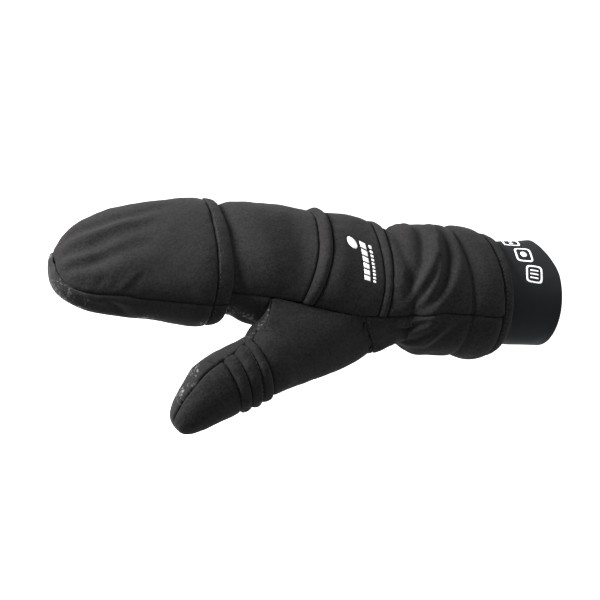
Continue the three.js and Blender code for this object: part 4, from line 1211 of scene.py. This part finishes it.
def strip(left, right, bottom, top):
    """A grid of points over a rectangle, about a millimetre apart."""
    across = max(int(round(right - left)), 1) + 2
    up = max(int(round(top - bottom)), 1) + 2
    return np.stack(grid_of(np.linspace(left, right, across), np.linspace(bottom, top, up)), -1)


def band(wide, tall, line_width, power=5.0):
    """A grid of points over a closed band with rounded corners, or a disc where the band is as wide."""
    turns = np.linspace(0, 2 * np.pi, BAND_POINTS + 1)
    across, up = bent(np.cos(turns), power), bent(np.sin(turns), power)
    insets = (0, line_width / 2, line_width)
    lines = [((wide / 2 - inset) * across, (tall / 2 - inset) * up) for inset in insets]
    return np.stack([np.stack(line_points, -1) for line_points in lines])


def printed(name, panel, patches):
    """Prints made of thin slabs on one piece: each is a centre, a turn and a grid."""
    points, faces, count = [], [], 0
    for centre, turn, grid in patches:
        top = film_patch(panel, centre, turn, grid, FILM["over"])
        bottom = film_patch(panel, centre, turn, grid, -FILM["under"])
        size = grid.shape[0] * grid.shape[1]
        index = np.arange(size).reshape(grid.shape[:2]) + count
        rims = [index[0], index[-1]]
        if not np.allclose(top[:, 0], top[:, -1]):
            rims += [index[:, 0], index[:, -1]]
        faces.append(slab_faces(index[:, :-1], index[:, 1:], [(rim[:-1], rim[1:]) for rim in rims], size))
        points += [top.reshape(-1, 3), bottom.reshape(-1, 3)]
        count += 2 * size
    make_object(name, np.concatenate(points), np.concatenate(faces), film, weld=True)


def print_panel():
    """A plain disc and two columns of dashes on the panel behind the knuckle roll."""
    centre, turn, foot = (-117, 107), 8, -11.8
    grids = [band(5.6, 5.6, 2.7, power=2.0) + (-7.6, -8.6)]
    for count, pitch, tall, left, right in ((6, 4.0, 3.0, -2.6, 0.8), (10, 2.4, 1.4, 2.7, 4.2)):
        for k in range(count):
            low = foot + pitch * k
            grids.append(strip(left, right, low, low + tall))
    printed("print_dashes", pieces["back_panel"], [(centre, turn, grid) for grid in grids])


def print_cuff():
    """Three small framed marks on the cuff: bars, a block and a pair of dots."""
    frame_band = band(10.4, 12.4, 1.1)
    bars = [strip(-2.6, 2.6, low, low + 1.0) for low in (-3.1, -0.5, 2.1)]
    block = [band(4.0, 4.6, 1.9, power=2.0)]
    dots = [band(2.4, 2.4, 1.1, power=2.0) + (0, shift) for shift in (-2.2, 2.2)]
    marks = (((-16.8, 112), 10, bars), ((-19.3, 86), 8, block), ((-21, 58), 14, dots))
    patches = [(centre, turn, grid) for centre, turn, inner in marks for grid in (frame_band, *inner)]
    printed("print_cuff_marks", pieces["inner_cuff"], patches)


stitch_all()
print_panel()
print_cuff()


# Camera, lights and floor

def view_axes(tilt, turn, lean):
    """The camera's axes to the right, up and back, where 0, 0, 0 looks straight down on the mitten."""
    cos_tilt, sin_tilt = math.cos(tilt), math.sin(tilt)
    cos_turn, sin_turn = math.cos(turn), math.sin(turn)
    back = np.array([-sin_turn, -cos_turn * sin_tilt, cos_turn * cos_tilt])
    right = np.array([cos_turn, -sin_turn * sin_tilt, sin_turn * cos_tilt])
    up = np.array([0, cos_tilt, sin_tilt])
    cos_lean, sin_lean = math.cos(lean), math.sin(lean)
    return right * cos_lean + up * sin_lean, up * cos_lean - right * sin_lean, back


# The photograph's view, and the point that it looks at
VIEW_ANGLES = (47, 20, 2.4)  # tilt, turn and lean in degrees
VIEW_RIGHT, VIEW_UP, VIEW_BACK = view_axes(*np.radians(VIEW_ANGLES))
VIEW_CENTRE = np.array([-148.5, 1.3, 0]) - VIEW_UP * 11.5
VIEW_DISTANCE = 933
LENS_MM = 100
SENSOR_MM = 36
FLOOR_Z = -900
FLOOR_SIZE_M = 14
SKY_STRENGTH = 1.1


def add_camera():
    data = bpy.data.cameras.new("camera")
    data.lens = LENS_MM
    data.sensor_width = SENSOR_MM
    data.clip_end = 50
    camera = bpy.data.objects.new("camera", data)
    bpy.context.scene.collection.objects.link(camera)
    place = (VIEW_CENTRE + VIEW_BACK * VIEW_DISTANCE) * MM
    axes = Matrix((VIEW_RIGHT, VIEW_UP, VIEW_BACK)).transposed().to_4x4()
    camera.matrix_world = Matrix.Translation(place) @ axes
    bpy.context.scene.camera = camera


def add_light(name, right, up, back, size, watts):
    """A square soft light at so many millimetres right of, above and before the view's centre."""
    data = bpy.data.lights.new(name, "AREA")
    data.size = size * MM
    data.energy = watts
    light = bpy.data.objects.new(name, data)
    bpy.context.scene.collection.objects.link(light)
    place = VIEW_CENTRE + VIEW_RIGHT * right + VIEW_UP * up + VIEW_BACK * back
    look = Vector(VIEW_CENTRE * MM) - Vector(place * MM)
    light.matrix_world = Matrix.Translation(place * MM) @ look.to_track_quat("-Z", "Y").to_matrix().to_4x4()


def add_studio():
    bpy.ops.mesh.primitive_plane_add(size=FLOOR_SIZE_M, location=(0, 0, FLOOR_Z * MM))
    floor = bpy.context.object
    floor.name = "studio_floor"
    floor.data.materials.append(floor_material())
    world = bpy.data.worlds.new("studio")
    world.use_nodes = True
    background = world.node_tree.nodes["Background"]
    background.inputs["Color"].default_value = (1, 1, 1, 1)
    background.inputs["Strength"].default_value = SKY_STRENGTH
    bpy.context.scene.world = world
    bpy.context.scene.view_settings.view_transform = "Standard"
    add_light("key_light", -810, 560, 250, 540, 70)
    add_light("fill_light", 640, 620, 60, 400, 5.5)


add_camera()
add_studio()
